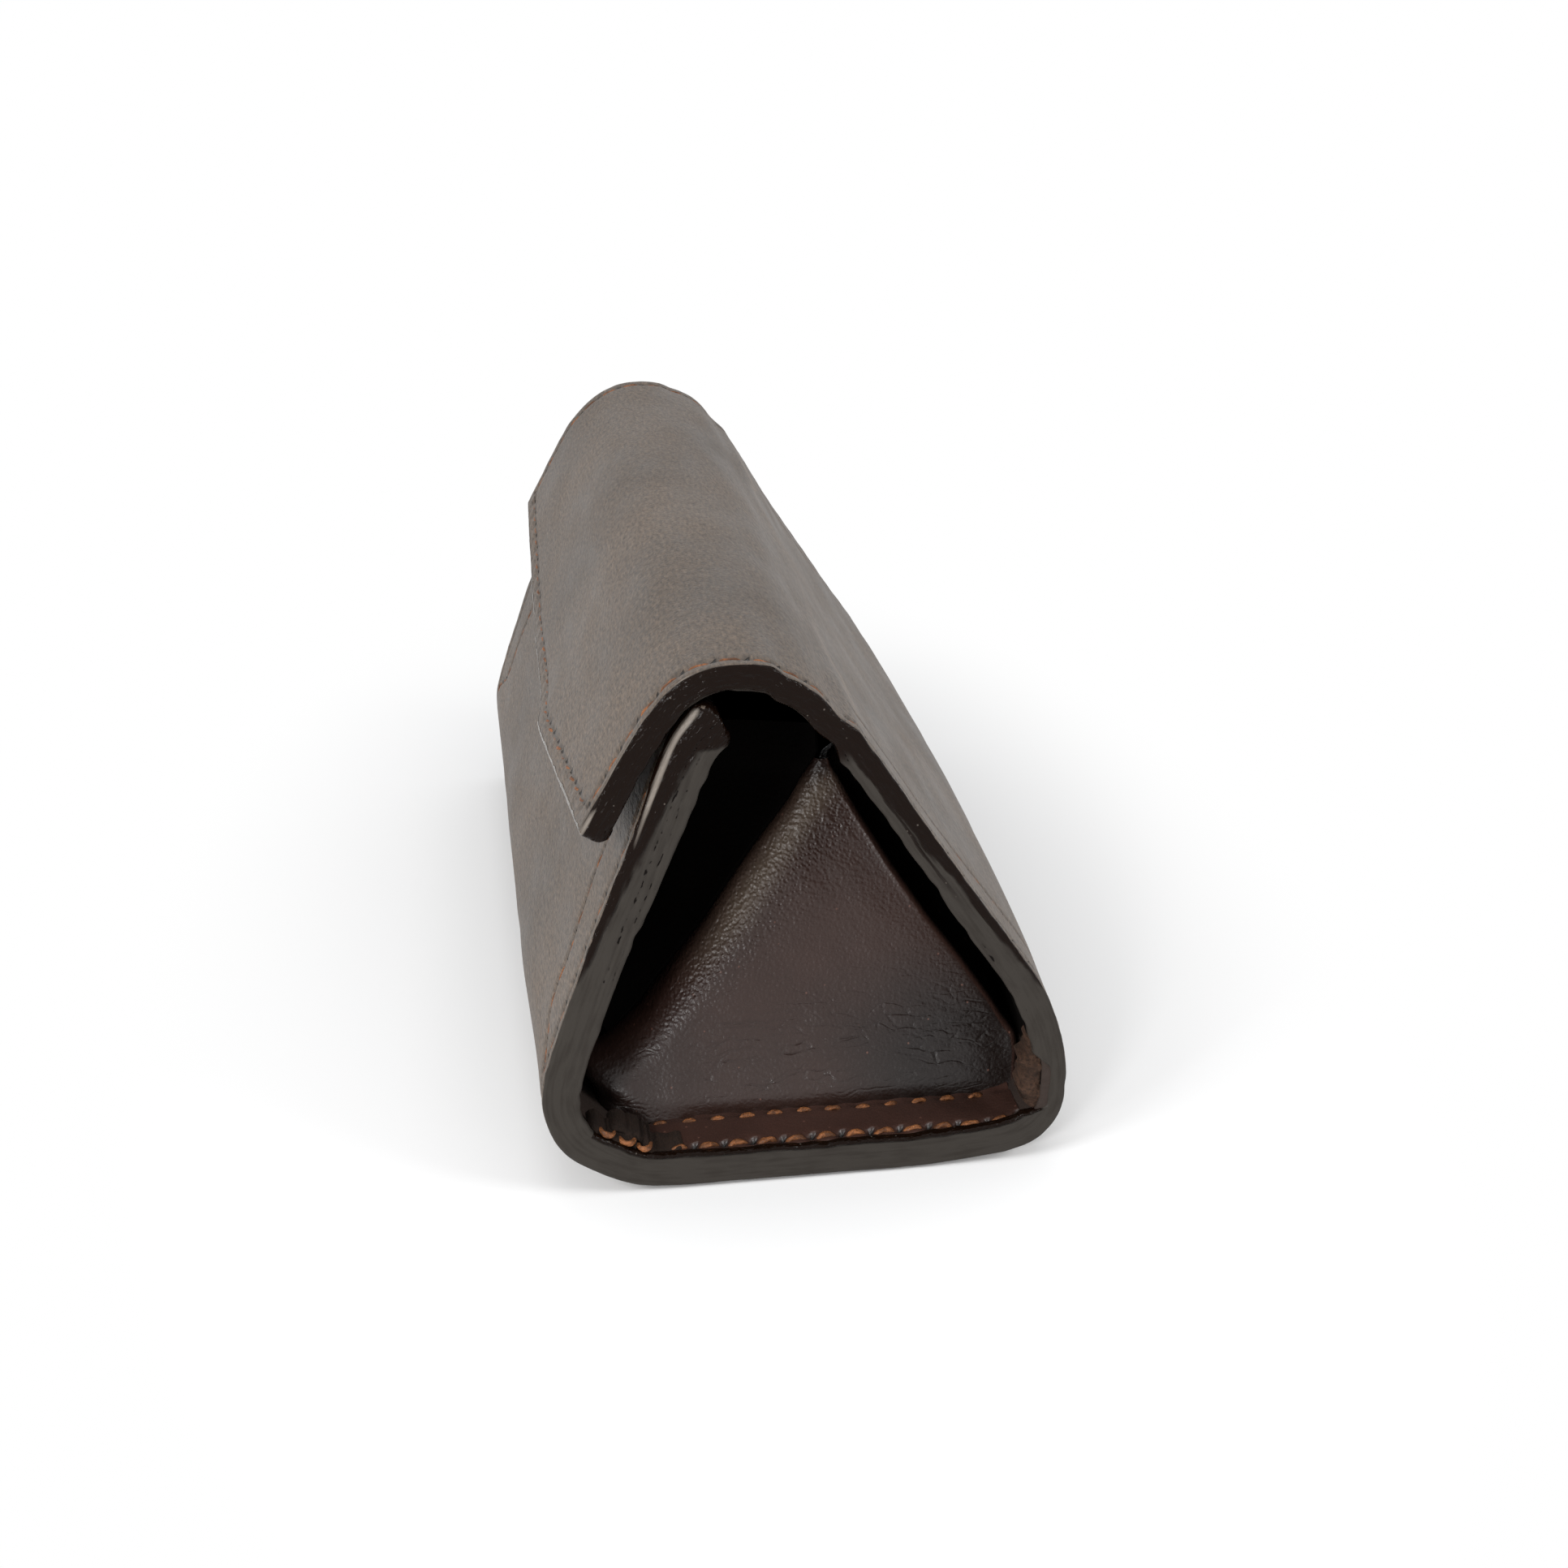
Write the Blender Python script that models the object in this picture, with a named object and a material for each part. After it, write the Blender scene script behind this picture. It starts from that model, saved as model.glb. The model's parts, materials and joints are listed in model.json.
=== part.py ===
"""A glasses case of thick leather, closed, standing on its base.

Two plies of leather, the outer one and the lining, wrap round three sides and end in a flap. A folded
gusset is sewn in at each end, and two magnets between the plies hold the flap shut.
Metres, +Z up. X runs along the case, the flap and the front wall are on the -Y side, and the base
stands on Z = 0 with the origin at its middle.
"""
import math

import bmesh
import bpy
from mathutils import Matrix, Vector

# The closed case
CASE_LENGTH = 0.156
CASE_WIDTH = 0.074
CASE_HEIGHT = 0.0775

# How far each side leans from upright, in degrees
FRONT_LEAN = 20.4
BACK_LEAN = 32.9
FLAP_LEAN = 29.5

# Bends of the outer leather, measured on its outer face
FRONT_CORNER_RADIUS = 0.0150
BACK_CORNER_RADIUS = 0.0095
BACK_HAUNCH_RADIUS = 0.0380
TOP_RADIUS = 0.0160

# Leather
OUTER_PLY = 0.0017
LINING_PLY = 0.0016
GUSSET_PLY = 0.0012
EDGE_ROUND = 0.0003

# Gaps: between plies that lie on each other, at a split between two bodies, round the tucked-in wall
SEAT_GAP = 0.0003
SPLIT_GAP = 0.0003
TUCK_CLEARANCE = 0.0006

# Front wall: the bend near its free edge, and the lip that follows the inside of the top bend
LIP_BEND_RADIUS = 0.0060
TUCKED_LIP = 0.0040

# Flap: straight run below the top bend at the ends, the extra drop in the middle, and its flat part
FLAP_END_REACH = 0.0150
FLAP_DROP = 0.0080
FLAP_FLAT_HALF = 0.0220

# Magnets, in pockets on the inner side of the outer ply
MAGNET_RADIUS = 0.0070
MAGNET_THICKNESS = 0.0010
MAGNET_SETBACK = 0.0110
POCKET_CLEARANCE = 0.0003

# Gusset: where its parts are sewn and folded, measured in from the end of the case
CREASE_INSET = 0.0108
FACE_LEAN = 24.4
APEX_HEIGHT = 0.0515
APEX_WALL_GAP = 0.0030
LEFT_FOLD_FOOT_Y = -0.0270
LEFT_FOLD_FOOT_HEIGHT = 0.0110
RIGHT_FOLD_FOOT_HEIGHT = 0.0120
FACE_SIDE_MARGIN = 0.0010
BACK_FLANGE_TOP_SETBACK = 0.0050
FRONT_FLANGE_END_SETBACK = 0.0020
PLEAT_DEPTH = 0.0080
LEAF_CLEARANCE = 0.0007
LEAF_FAN_SHARE = 0.14
LEAF_APEX_SETBACK = 0.0030
LEAF_TOP_SETBACK = 0.0130
LEAF_FOOT_SETBACK = 0.0040

# Stitches
STITCH_PITCH = 0.0042
STITCH_WIDTH = 0.0009
STITCH_HEIGHT = 0.0004
STITCH_FLAT_SHARE = 0.50
NECK_WIDTH = 0.0004
NECK_HEIGHT = 0.0002
FLAP_EDGE_PITCH = 0.0052
EDGE_ROW_INSET = 0.0025
BASE_ROW_INSET = 0.0093
SIDE_ROW_INSET = 0.0118
FLAP_EDGE_ROW_INSET = 0.0026
ROW_END_MARGIN = 0.0030
FRONT_ROW_TOP_SETBACK = 0.0090

# Facets in the round bends
CORNER_STEPS = 9
HAUNCH_STEPS = 5
TOP_STEPS = 12
LIP_STEPS = 3
MAGNET_SIDES = 32

HALF_LENGTH = CASE_LENGTH / 2
WRAP = OUTER_PLY + SEAT_GAP + LINING_PLY
FLOOR = WRAP + SEAT_GAP
FLANGE_TOP = FLOOR + GUSSET_PLY
FLANGE_MIDDLE = FLOOR + GUSSET_PLY / 2


def unit(angle):
    """Direction in the end view: 0 points to the back (+Y), a quarter turn points up."""
    return Vector((math.cos(angle), math.sin(angle)))


FRONT_NORMAL = math.pi - math.radians(FRONT_LEAN)
BACK_NORMAL = math.radians(BACK_LEAN)
FLAP_NORMAL = math.pi - math.radians(FLAP_LEAN)
FULL_TURN = 2 * math.pi

# Centres of the bends, and the ends of the straight runs, on the outer face in the end view
FRONT_CORNER = Vector((FRONT_CORNER_RADIUS - CASE_WIDTH / 2, FRONT_CORNER_RADIUS))
BACK_CORNER = Vector((CASE_WIDTH / 2 - BACK_CORNER_RADIUS, BACK_CORNER_RADIUS))
BACK_HAUNCH = Vector((CASE_WIDTH / 2 - BACK_HAUNCH_RADIUS, BACK_CORNER_RADIUS))
BACK_FOOT = BACK_HAUNCH + BACK_HAUNCH_RADIUS * unit(BACK_NORMAL)
TOP_CENTRE_Z = CASE_HEIGHT - TOP_RADIUS
TOP_CENTRE_Y = (BACK_FOOT.dot(unit(BACK_NORMAL)) - TOP_RADIUS
                - TOP_CENTRE_Z * math.sin(BACK_NORMAL)) / math.cos(BACK_NORMAL)
TOP_CENTRE = Vector((TOP_CENTRE_Y, TOP_CENTRE_Z))
FRONT_HINGE = FRONT_CORNER + FRONT_CORNER_RADIUS * unit(FRONT_NORMAL)
FLAP_HINGE = TOP_CENTRE + TOP_RADIUS * unit(BACK_NORMAL)
FLAP_START = TOP_CENTRE + TOP_RADIUS * unit(FLAP_NORMAL)

UP_FRONT = unit(FRONT_NORMAL - math.pi / 2)
UP_BACK = unit(BACK_NORMAL + math.pi / 2)
DOWN_FLAP = unit(FLAP_NORMAL + math.pi / 2)


TUCK_RADIUS = TOP_RADIUS - WRAP - TUCK_CLEARANCE


def front_reach():
    """Straight length of the front wall, up to the bend of its tucked lip."""
    room = TUCK_RADIUS - LIP_BEND_RADIUS
    to_centre = TOP_CENTRE - FRONT_HINGE
    along = to_centre.dot(UP_FRONT)
    across = (to_centre - along * UP_FRONT).length - LIP_BEND_RADIUS
    return along + math.sqrt(max(room * room - across * across, 0.0))


FRONT_REACH = front_reach()


def clear_scene():
    """Remove the objects of the start-up scene."""
    for old in list(bpy.data.objects):
        bpy.data.objects.remove(old, do_unlink=True)


def leather(name, colour, roughness):
    """A plain shader with the part's colour."""
    return finish(name, colour, roughness, 0.0)


def finish(name, colour, roughness, metallic):
    """A Principled material."""
    material = bpy.data.materials.new(name)
    material.use_nodes = True
    shader = material.node_tree.nodes["Principled BSDF"]
    shader.inputs["Base Color"].default_value = (*colour, 1.0)
    shader.inputs["Roughness"].default_value = roughness
    shader.inputs["Metallic"].default_value = metallic
    return material


def add_object(name, mesh_builder, material, parent=None):
    """Turn a bmesh in world places into an object whose origin is its parent's, on the joint axis."""
    bmesh.ops.recalc_face_normals(mesh_builder, faces=mesh_builder.faces)
    mesh = bpy.data.meshes.new(name)
    if parent is not None:
        bmesh.ops.translate(mesh_builder, vec=-parent.location, verts=mesh_builder.verts)
    mesh_builder.to_mesh(mesh)
    mesh_builder.free()
    mesh.materials.append(material)
    mesh.shade_smooth()
    mesh.set_sharp_from_angle(angle=math.radians(30))
    item = bpy.data.objects.new(name, mesh)
    bpy.context.scene.collection.objects.link(item)
    item.parent = parent
    return item


def add_hinge(name, point):
    """An empty on a joint's axis, which carries the pieces that turn on it."""
    empty = bpy.data.objects.new(name, None)
    empty.empty_display_size = WRAP
    empty.location = (0, point.x, point.y)
    bpy.context.scene.collection.objects.link(empty)
    return empty


def boolean(item, tool, operation):
    """Cut a tool object out of an item, or join it on; the tool isn't a piece of its own."""
    tool.hide_render = True
    tool.display_type = "WIRE"
    modifier = item.modifiers.new(tool.name, "BOOLEAN")
    modifier.operation = operation
    modifier.object = tool
    modifier.solver = "EXACT"


def round_edges(item):
    """Round the long cut edges of a ply a little."""
    bevel = item.modifiers.new("edge_round", "BEVEL")
    bevel.width = EDGE_ROUND
    bevel.segments = 1
    bevel.limit_method = "ANGLE"
    bevel.angle_limit = math.radians(60)


def arc(centre, radius, start, end, steps):
    """Stations on a bend: each is a point on the outer face and the direction it faces."""
    angles = [start + (end - start) * i / steps for i in range(steps + 1)]
    return [(centre + radius * unit(a), a) for a in angles]


def body_path():
    """Front corner, base, back corner, haunch and back wall, from one hinge line to the other."""
    half_split = SPLIT_GAP / 2
    path = [(FRONT_HINGE - half_split * UP_FRONT, FRONT_NORMAL)]
    first = FRONT_NORMAL + half_split / FRONT_CORNER_RADIUS
    path += arc(FRONT_CORNER, FRONT_CORNER_RADIUS, first, 1.5 * math.pi, CORNER_STEPS)[1:]
    path += arc(BACK_CORNER, BACK_CORNER_RADIUS, 1.5 * math.pi, FULL_TURN, CORNER_STEPS)
    path += arc(BACK_HAUNCH, BACK_HAUNCH_RADIUS, FULL_TURN, FULL_TURN + BACK_NORMAL, HAUNCH_STEPS)[1:]
    path.append((FLAP_HINGE - half_split * UP_BACK, BACK_NORMAL))
    return path


def front_path():
    """The front wall, from its free edge tucked under the top bend to the hinge line."""
    top = FRONT_HINGE + FRONT_REACH * UP_FRONT
    bend_centre = top - LIP_BEND_RADIUS * unit(FRONT_NORMAL)
    from_top_bend = bend_centre - TOP_CENTRE
    bend_end = min(math.atan2(from_top_bend.y, from_top_bend.x), FRONT_NORMAL)
    lip_centre = bend_centre - (TUCK_RADIUS - LIP_BEND_RADIUS) * unit(bend_end)
    path = arc(lip_centre, TUCK_RADIUS, bend_end - TUCKED_LIP / TUCK_RADIUS, bend_end, LIP_STEPS)
    for stop in arc(bend_centre, LIP_BEND_RADIUS, bend_end, FRONT_NORMAL, LIP_STEPS)[1:]:
        if (stop[0] - path[-1][0]).length > SPLIT_GAP:
            path.append(stop)
    return [*path, (FRONT_HINGE + SPLIT_GAP / 2 * UP_FRONT, FRONT_NORMAL)]


def flap_path(reach):
    """The top bend and the straight flap, from the hinge line to the flap's tip."""
    path = [(FLAP_HINGE + SPLIT_GAP / 2 * UP_BACK, BACK_NORMAL)]
    path += arc(TOP_CENTRE, TOP_RADIUS, BACK_NORMAL + SPLIT_GAP / TOP_RADIUS, FLAP_NORMAL, TOP_STEPS)
    path.append((FLAP_START + reach * DOWN_FLAP, FLAP_NORMAL))
    return path


def ply_section(path, outer_depth, thickness):
    """Closed outline of one ply: its outer face, then its inner face on the way back."""
    outer = [point - outer_depth * unit(a) for point, a in path]
    inner = [point - (outer_depth + thickness) * unit(a) for point, a in path]
    return outer + inner[::-1]


def loft(sections):
    """Join outlines at given places along X into one closed solid."""
    builder = bmesh.new()
    rings = []
    for x, outline in sections:
        rings.append([builder.verts.new((x, p.x, p.y)) for p in outline])
    for near, far in zip(rings, rings[1:]):
        for i in range(len(near)):
            j = (i + 1) % len(near)
            builder.faces.new((near[i], near[j], far[j], far[i]))
    builder.faces.new(rings[0])
    builder.faces.new(rings[-1][::-1])
    return builder


def straight_ply(path, outer_depth, thickness):
    """A ply with the same outline over the whole length of the case."""
    outline = ply_section(path, outer_depth, thickness)
    return loft([(-HALF_LENGTH, outline), (HALF_LENGTH, outline)])


def flap_reach(x):
    """Straight run of the flap at a place along the case: level in the middle, slanting to the ends."""
    share = (HALF_LENGTH - abs(x)) / (HALF_LENGTH - FLAP_FLAT_HALF)
    return FLAP_END_REACH + FLAP_DROP * min(share, 1.0)


def flap_ply(outer_depth, thickness):
    """A ply of the flap, with the slanting ends of its lower edge."""
    stops = (-HALF_LENGTH, -FLAP_FLAT_HALF, FLAP_FLAT_HALF, HALF_LENGTH)
    return loft([(x, ply_section(flap_path(flap_reach(x)), outer_depth, thickness)) for x in stops])


def disc(centre, normal_angle, depth, radius, thickness):
    """A round solid whose outer face lies at a depth below a point on the outer leather."""
    builder = bmesh.new()
    facing = unit(normal_angle)
    middle = centre - (depth + thickness / 2) * facing
    turn = Vector((0, 0, 1)).rotation_difference(Vector((0, facing.x, facing.y))).to_matrix().to_4x4()
    place = Matrix.Translation((0, middle.x, middle.y)) @ turn
    bmesh.ops.create_cone(builder, cap_ends=True, segments=MAGNET_SIDES, radius1=radius,
                          radius2=radius, depth=thickness, matrix=place)
    return builder


def add_magnet(name, centre, normal_angle, ply, steel, parent):
    """A magnet in a pocket on the inner side of an outer ply, level with that side."""
    magnet_depth = OUTER_PLY - MAGNET_THICKNESS
    pocket_depth = magnet_depth - POCKET_CLEARANCE
    add_object(name, disc(centre, normal_angle, magnet_depth, MAGNET_RADIUS, MAGNET_THICKNESS),
               steel, parent)
    pocket = disc(centre, normal_angle, pocket_depth, MAGNET_RADIUS + POCKET_CLEARANCE, OUTER_PLY)
    boolean(ply, add_object(name + "_pocket", pocket, steel, parent), "DIFFERENCE")


def add_prism(builder, corners, thickness):
    """Add a closed plate to a mesh: its flat outline, and the same outline moved by its thickness."""
    low = [builder.verts.new(c) for c in corners]
    high = [builder.verts.new(c + thickness) for c in corners]
    builder.faces.new(low)
    builder.faces.new(high[::-1])
    for i in range(len(low)):
        j = (i + 1) % len(low)
        builder.faces.new((low[i], low[j], high[j], high[i]))


def plate(corners, thickness):
    """A plate as a mesh of its own."""
    builder = bmesh.new()
    add_prism(builder, corners, thickness)
    return builder


def end_x(side, inset):
    """Place along the case, measured in from the right (+1) or left (-1) end."""
    return side * (HALF_LENGTH - inset)


def at(side, inset, point):
    """A point in space from a distance in from one end and a point in the end view."""
    return Vector((end_x(side, inset), point.x, point.y))


def strip(side, path, inset_of):
    """A flange on a wall's lining, as deep into the case as inset_of says at each station."""
    builder = bmesh.new()
    rings = []
    for point, angle in path:
        low = point - FLOOR * unit(angle)
        high = point - FLANGE_TOP * unit(angle)
        deep = inset_of(point)
        corners = (at(side, 0, low), at(side, deep, low), at(side, deep, high), at(side, 0, high))
        rings.append([builder.verts.new(c) for c in corners])
    for near, far in zip(rings, rings[1:]):
        for i in range(4):
            j = (i + 1) % 4
            builder.faces.new((near[i], near[j], far[j], far[i]))
    builder.faces.new(rings[0][::-1])
    builder.faces.new(rings[-1])
    return builder


def face_inset(height):
    """How deep the leaning face lies at a height."""
    return CREASE_INSET + (height - FLOOR) * math.tan(math.radians(FACE_LEAN))


def back_wall_point(height, depth):
    """The point at a height, on the haunch or the back wall, that lies at a depth below its face."""
    radius = BACK_HAUNCH_RADIUS - depth
    turn = math.asin(min((height - BACK_HAUNCH.y) / radius, 1.0))
    if turn <= BACK_NORMAL:
        return BACK_HAUNCH + radius * unit(turn)
    start = BACK_FOOT - depth * unit(BACK_NORMAL)
    return start + (height - start.y) / UP_BACK.y * UP_BACK


APEX = back_wall_point(APEX_HEIGHT, FLANGE_TOP + APEX_WALL_GAP)
RIGHT_FOLD_FOOT = back_wall_point(RIGHT_FOLD_FOOT_HEIGHT, FLANGE_MIDDLE)
LEFT_FOLD_FOOT = Vector((LEFT_FOLD_FOOT_Y, LEFT_FOLD_FOOT_HEIGHT))


def add_gusset(name, side, material):
    """The part of an end gusset that stays with the base: floor flange, leaning face, back pleat."""
    low_y = FRONT_CORNER.x + FACE_SIDE_MARGIN
    high_y = BACK_CORNER.x
    face = [at(side, face_inset(p.y), p) for p in
            (Vector((low_y, FLOOR)), Vector((high_y, FLOOR)), RIGHT_FOLD_FOOT, APEX, LEFT_FOLD_FOOT)]
    lean = math.radians(FACE_LEAN)
    out_of_face = GUSSET_PLY * Vector((side * math.cos(lean), 0, math.sin(lean)))
    flange = [at(side, inset, Vector((y, FLOOR))) for inset, y in
              ((0, low_y), (CREASE_INSET, low_y), (CREASE_INSET, high_y), (0, high_y))]
    gusset = add_object(name, plate(flange, Vector((0, 0, GUSSET_PLY))), material)
    face_tool = add_object(name + "_face", plate(face, out_of_face), material)

    def valley_inset(point):
        return face_inset(min(point.y, APEX_HEIGHT)) + PLEAT_DEPTH

    valley_top = back_wall_point(APEX_HEIGHT, FLANGE_MIDDLE)
    into_face = out_of_face / 2 + Vector((0, -GUSSET_PLY / 2, 0))
    pleat = [face[2] + into_face, face[3] + into_face, at(side, valley_inset(APEX), valley_top)]
    across = GUSSET_PLY * (pleat[1] - pleat[0]).cross(pleat[2] - pleat[0]).normalized()
    pleat_tool = add_object(name + "_pleat", plate([p - across / 2 for p in pleat], across), material)

    lift = math.asin((RIGHT_FOLD_FOOT_HEIGHT - BACK_HAUNCH.y) / BACK_HAUNCH_RADIUS)
    wall = arc(BACK_HAUNCH, BACK_HAUNCH_RADIUS, lift, BACK_NORMAL, HAUNCH_STEPS)
    wall.append((back_wall_point(APEX_HEIGHT, 0), BACK_NORMAL))
    wall.append((FLAP_HINGE - BACK_FLANGE_TOP_SETBACK * UP_BACK, BACK_NORMAL))
    flange_tool = add_object(name + "_back_flange", strip(side, wall, valley_inset), material)
    for tool in (face_tool, pleat_tool, flange_tool):
        boolean(gusset, tool, "UNION")


def leaf_inset(point):
    """Depth of the front pleat's leaf: behind the face, further where it swings up more."""
    fan = LEAF_FAN_SHARE * (point.x - FRONT_HINGE.x)
    return face_inset(point.y) + LEAF_CLEARANCE + fan


def add_front_gusset(name, side, material, hinge):
    """The part of an end gusset that moves with the front wall: its flange and the pleat's leaf."""
    def on_wall(reach):
        return FRONT_HINGE + reach * UP_FRONT - FLANGE_MIDDLE * unit(FRONT_NORMAL)

    top = FRONT_REACH - FRONT_FLANGE_END_SETBACK
    leaf_top_reach = FRONT_REACH - LEAF_TOP_SETBACK
    leaf_top = on_wall(leaf_top_reach)
    leaf_foot = on_wall(LEAF_FOOT_SETBACK)
    toward_foot = (LEFT_FOLD_FOOT - APEX).normalized()
    inner_top = APEX + LEAF_APEX_SETBACK * toward_foot
    inner_foot = LEFT_FOLD_FOOT - LEAF_FOOT_SETBACK * toward_foot
    corners = [at(side, leaf_inset(p), p) for p in (inner_top, leaf_top, leaf_foot, inner_foot)]
    leaf = plate(corners, Vector((-side * GUSSET_PLY, 0, 0)))

    path = [(FRONT_HINGE + reach * UP_FRONT, FRONT_NORMAL)
            for reach in (FRONT_FLANGE_END_SETBACK, LEAF_FOOT_SETBACK, leaf_top_reach, top)]

    def valley_inset(point):
        reach = (point - FRONT_HINGE).dot(UP_FRONT)
        return leaf_inset(on_wall(min(max(reach, LEAF_FOOT_SETBACK), leaf_top_reach))) + 2 * GUSSET_PLY

    gusset = add_object(name, strip(side, path, valley_inset), material, hinge)
    boolean(gusset, add_object(name + "_leaf", leaf, material, hinge), "UNION")


def stations_along(path, place_of):
    """Even steps along a path on the outer leather: a function that gives place and facing at a run."""
    points = [place_of(point) for point, _ in path]
    lengths = [0.0]
    for a, b in zip(points, points[1:]):
        lengths.append(lengths[-1] + (b - a).length)

    def station(run):
        k = max(n for n in range(len(points) - 1) if lengths[n] <= run)
        share = (run - lengths[k]) / (lengths[k + 1] - lengths[k])
        angle = path[k][1] + (path[k + 1][1] - path[k][1]) * share
        return points[k].lerp(points[k + 1], share), Vector((0, *unit(angle)))

    return lengths[-1], station


def add_row(name, path, place_of, thread, parent=None, pitch=STITCH_PITCH):
    """One row of stitches as a thread that thins where it dives into each hole."""
    builder = bmesh.new()
    run, station = stations_along(path, place_of)
    count = max(1, round(run / pitch))
    step = run / count
    flat = STITCH_FLAT_SHARE * step
    stops = []
    for i in range(count):
        middle = (i + 0.5) * step
        stops += [(i * step, NECK_WIDTH, NECK_HEIGHT), (middle - flat / 2, STITCH_WIDTH, STITCH_HEIGHT),
                  (middle + flat / 2, STITCH_WIDTH, STITCH_HEIGHT)]
    stops.append((run, NECK_WIDTH, NECK_HEIGHT))
    rings = []
    for place, width, height in stops:
        point, facing = station(place)
        ahead = station(min(place + NECK_WIDTH, run))[0]
        behind = station(max(place - NECK_WIDTH, 0.0))[0]
        across = (ahead - behind).normalized().cross(facing).normalized() * width / 2
        low = point + SEAT_GAP * facing
        high = low + height * facing
        rings.append([builder.verts.new(c) for c in (low - across, low + across,
                                                     high + across, high - across)])
    for near, far in zip(rings, rings[1:]):
        for i in range(4):
            j = (i + 1) % 4
            builder.faces.new((near[i], near[j], far[j], far[i]))
    builder.faces.new(rings[0][::-1])
    builder.faces.new(rings[-1])
    add_object(name, builder, thread, parent)


def add_threads(thread, front_hinge, flap_hinge):
    """Every row of stitches that shows, in groups by the piece that carries it."""
    up = math.pi / 2
    floor_row = [(Vector((FRONT_CORNER.x + FACE_SIDE_MARGIN, FLANGE_TOP)), up),
                 (Vector((BACK_CORNER.x, FLANGE_TOP)), up)]
    back_row = [(BACK_FOOT, BACK_NORMAL), (FLAP_HINGE - ROW_END_MARGIN * UP_BACK, BACK_NORMAL)]
    front_top = FRONT_HINGE + (FRONT_REACH - FRONT_ROW_TOP_SETBACK) * UP_FRONT
    front_row = [(FRONT_HINGE + ROW_END_MARGIN * UP_FRONT, FRONT_NORMAL), (front_top, FRONT_NORMAL)]
    flap_row = [stop for stop in flap_path(FLAP_END_REACH - ROW_END_MARGIN)
                if (stop[0] - FLAP_HINGE).length > ROW_END_MARGIN / 2]

    for side, end_name in ((1, "right"), (-1, "left")):
        def at_edge(point):
            return at(side, EDGE_ROW_INSET, point)

        def at_crease(point):
            return at(side, BASE_ROW_INSET, point)

        def at_side_row(point):
            return at(side, SIDE_ROW_INSET, point)

        add_row("thread_base_edge_" + end_name, floor_row, at_edge, thread)
        add_row("thread_base_crease_" + end_name, floor_row, at_crease, thread)
        add_row("thread_back_edge_" + end_name, back_row, at_edge, thread)
        add_row("thread_back_inner_" + end_name, back_row, at_side_row, thread)
        add_row("thread_front_" + end_name, front_row, at_side_row, thread, front_hinge)
        add_row("thread_flap_end_" + end_name, flap_row, at_edge, thread, flap_hinge)

    end = HALF_LENGTH - EDGE_ROW_INSET - ROW_END_MARGIN
    edge_path = [(x, FLAP_NORMAL) for x in (-end, -FLAP_FLAT_HALF, FLAP_FLAT_HALF, end)]

    def on_flap_edge(x):
        low = FLAP_START + (flap_reach(x) - FLAP_EDGE_ROW_INSET) * DOWN_FLAP
        return Vector((x, low.x, low.y))

    add_row("thread_flap_edge", edge_path, on_flap_edge, thread, flap_hinge, FLAP_EDGE_PITCH)


def main():
    clear_scene()
    outer_leather = leather("outer leather", (0.040, 0.027, 0.022), 0.50)
    lining_leather = leather("lining leather", (0.030, 0.020, 0.016), 0.60)
    gusset_leather = leather("gusset leather", (0.036, 0.024, 0.020), 0.55)
    thread = finish("waxed thread", (0.200, 0.072, 0.026), 0.60, 0.0)
    steel = finish("nickel plated magnet", (0.550, 0.540, 0.520), 0.30, 1.0)

    front_hinge = add_hinge("front_wall_hinge", FRONT_HINGE)
    flap_hinge = add_hinge("flap_hinge", FLAP_HINGE)

    lining_depth = OUTER_PLY + SEAT_GAP
    outer_body = add_object("outer_body", straight_ply(body_path(), 0, OUTER_PLY), outer_leather)
    outer_front = add_object("outer_front", straight_ply(front_path(), 0, OUTER_PLY),
                             outer_leather, front_hinge)
    outer_flap = add_object("outer_flap", flap_ply(0, OUTER_PLY), outer_leather, flap_hinge)
    lining_body = add_object("lining_body", straight_ply(body_path(), lining_depth, LINING_PLY),
                             lining_leather)
    lining_front = add_object("lining_front", straight_ply(front_path(), lining_depth, LINING_PLY),
                              lining_leather, front_hinge)
    lining_flap = add_object("lining_flap", flap_ply(lining_depth, LINING_PLY),
                             lining_leather, flap_hinge)

    magnet_spot = FLAP_START + (FLAP_END_REACH + FLAP_DROP - MAGNET_SETBACK) * DOWN_FLAP
    reach = (magnet_spot - FRONT_HINGE).dot(UP_FRONT)
    add_magnet("flap_magnet", magnet_spot, FLAP_NORMAL, outer_flap, steel, flap_hinge)
    add_magnet("front_magnet", FRONT_HINGE + reach * UP_FRONT, FRONT_NORMAL, outer_front, steel,
               front_hinge)
    for ply in (outer_body, outer_front, outer_flap, lining_body, lining_front, lining_flap):
        round_edges(ply)

    for side, end_name in ((1, "right"), (-1, "left")):
        add_gusset("gusset_" + end_name, side, gusset_leather)
        add_front_gusset("gusset_" + end_name + "_front", side, gusset_leather, front_hinge)
    add_threads(thread, front_hinge, flap_hinge)

    for name, point in (("flap hinge", FLAP_HINGE), ("front hinge", FRONT_HINGE)):
        print(f"{name} at Y {point.x:.6f} Z {point.y:.6f}, front wall reach {FRONT_REACH:.6f}")


main()
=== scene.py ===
"""Leather spectacle case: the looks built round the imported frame.

A triangular case of thick dark leather, sewn with waxed thread. Its flap wraps over the top, its
front wall swings out, and a folded gusset closes each end. Lengths inside the shape functions are
in millimetres, and every mesh is written in metres in the frame's own axes.
"""
import json
import math
from functools import cache, partial

import bmesh
import bpy
import numpy as np
from bpy.props import FloatProperty, FloatVectorProperty, PointerProperty
from mathutils import Matrix, Vector


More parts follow.
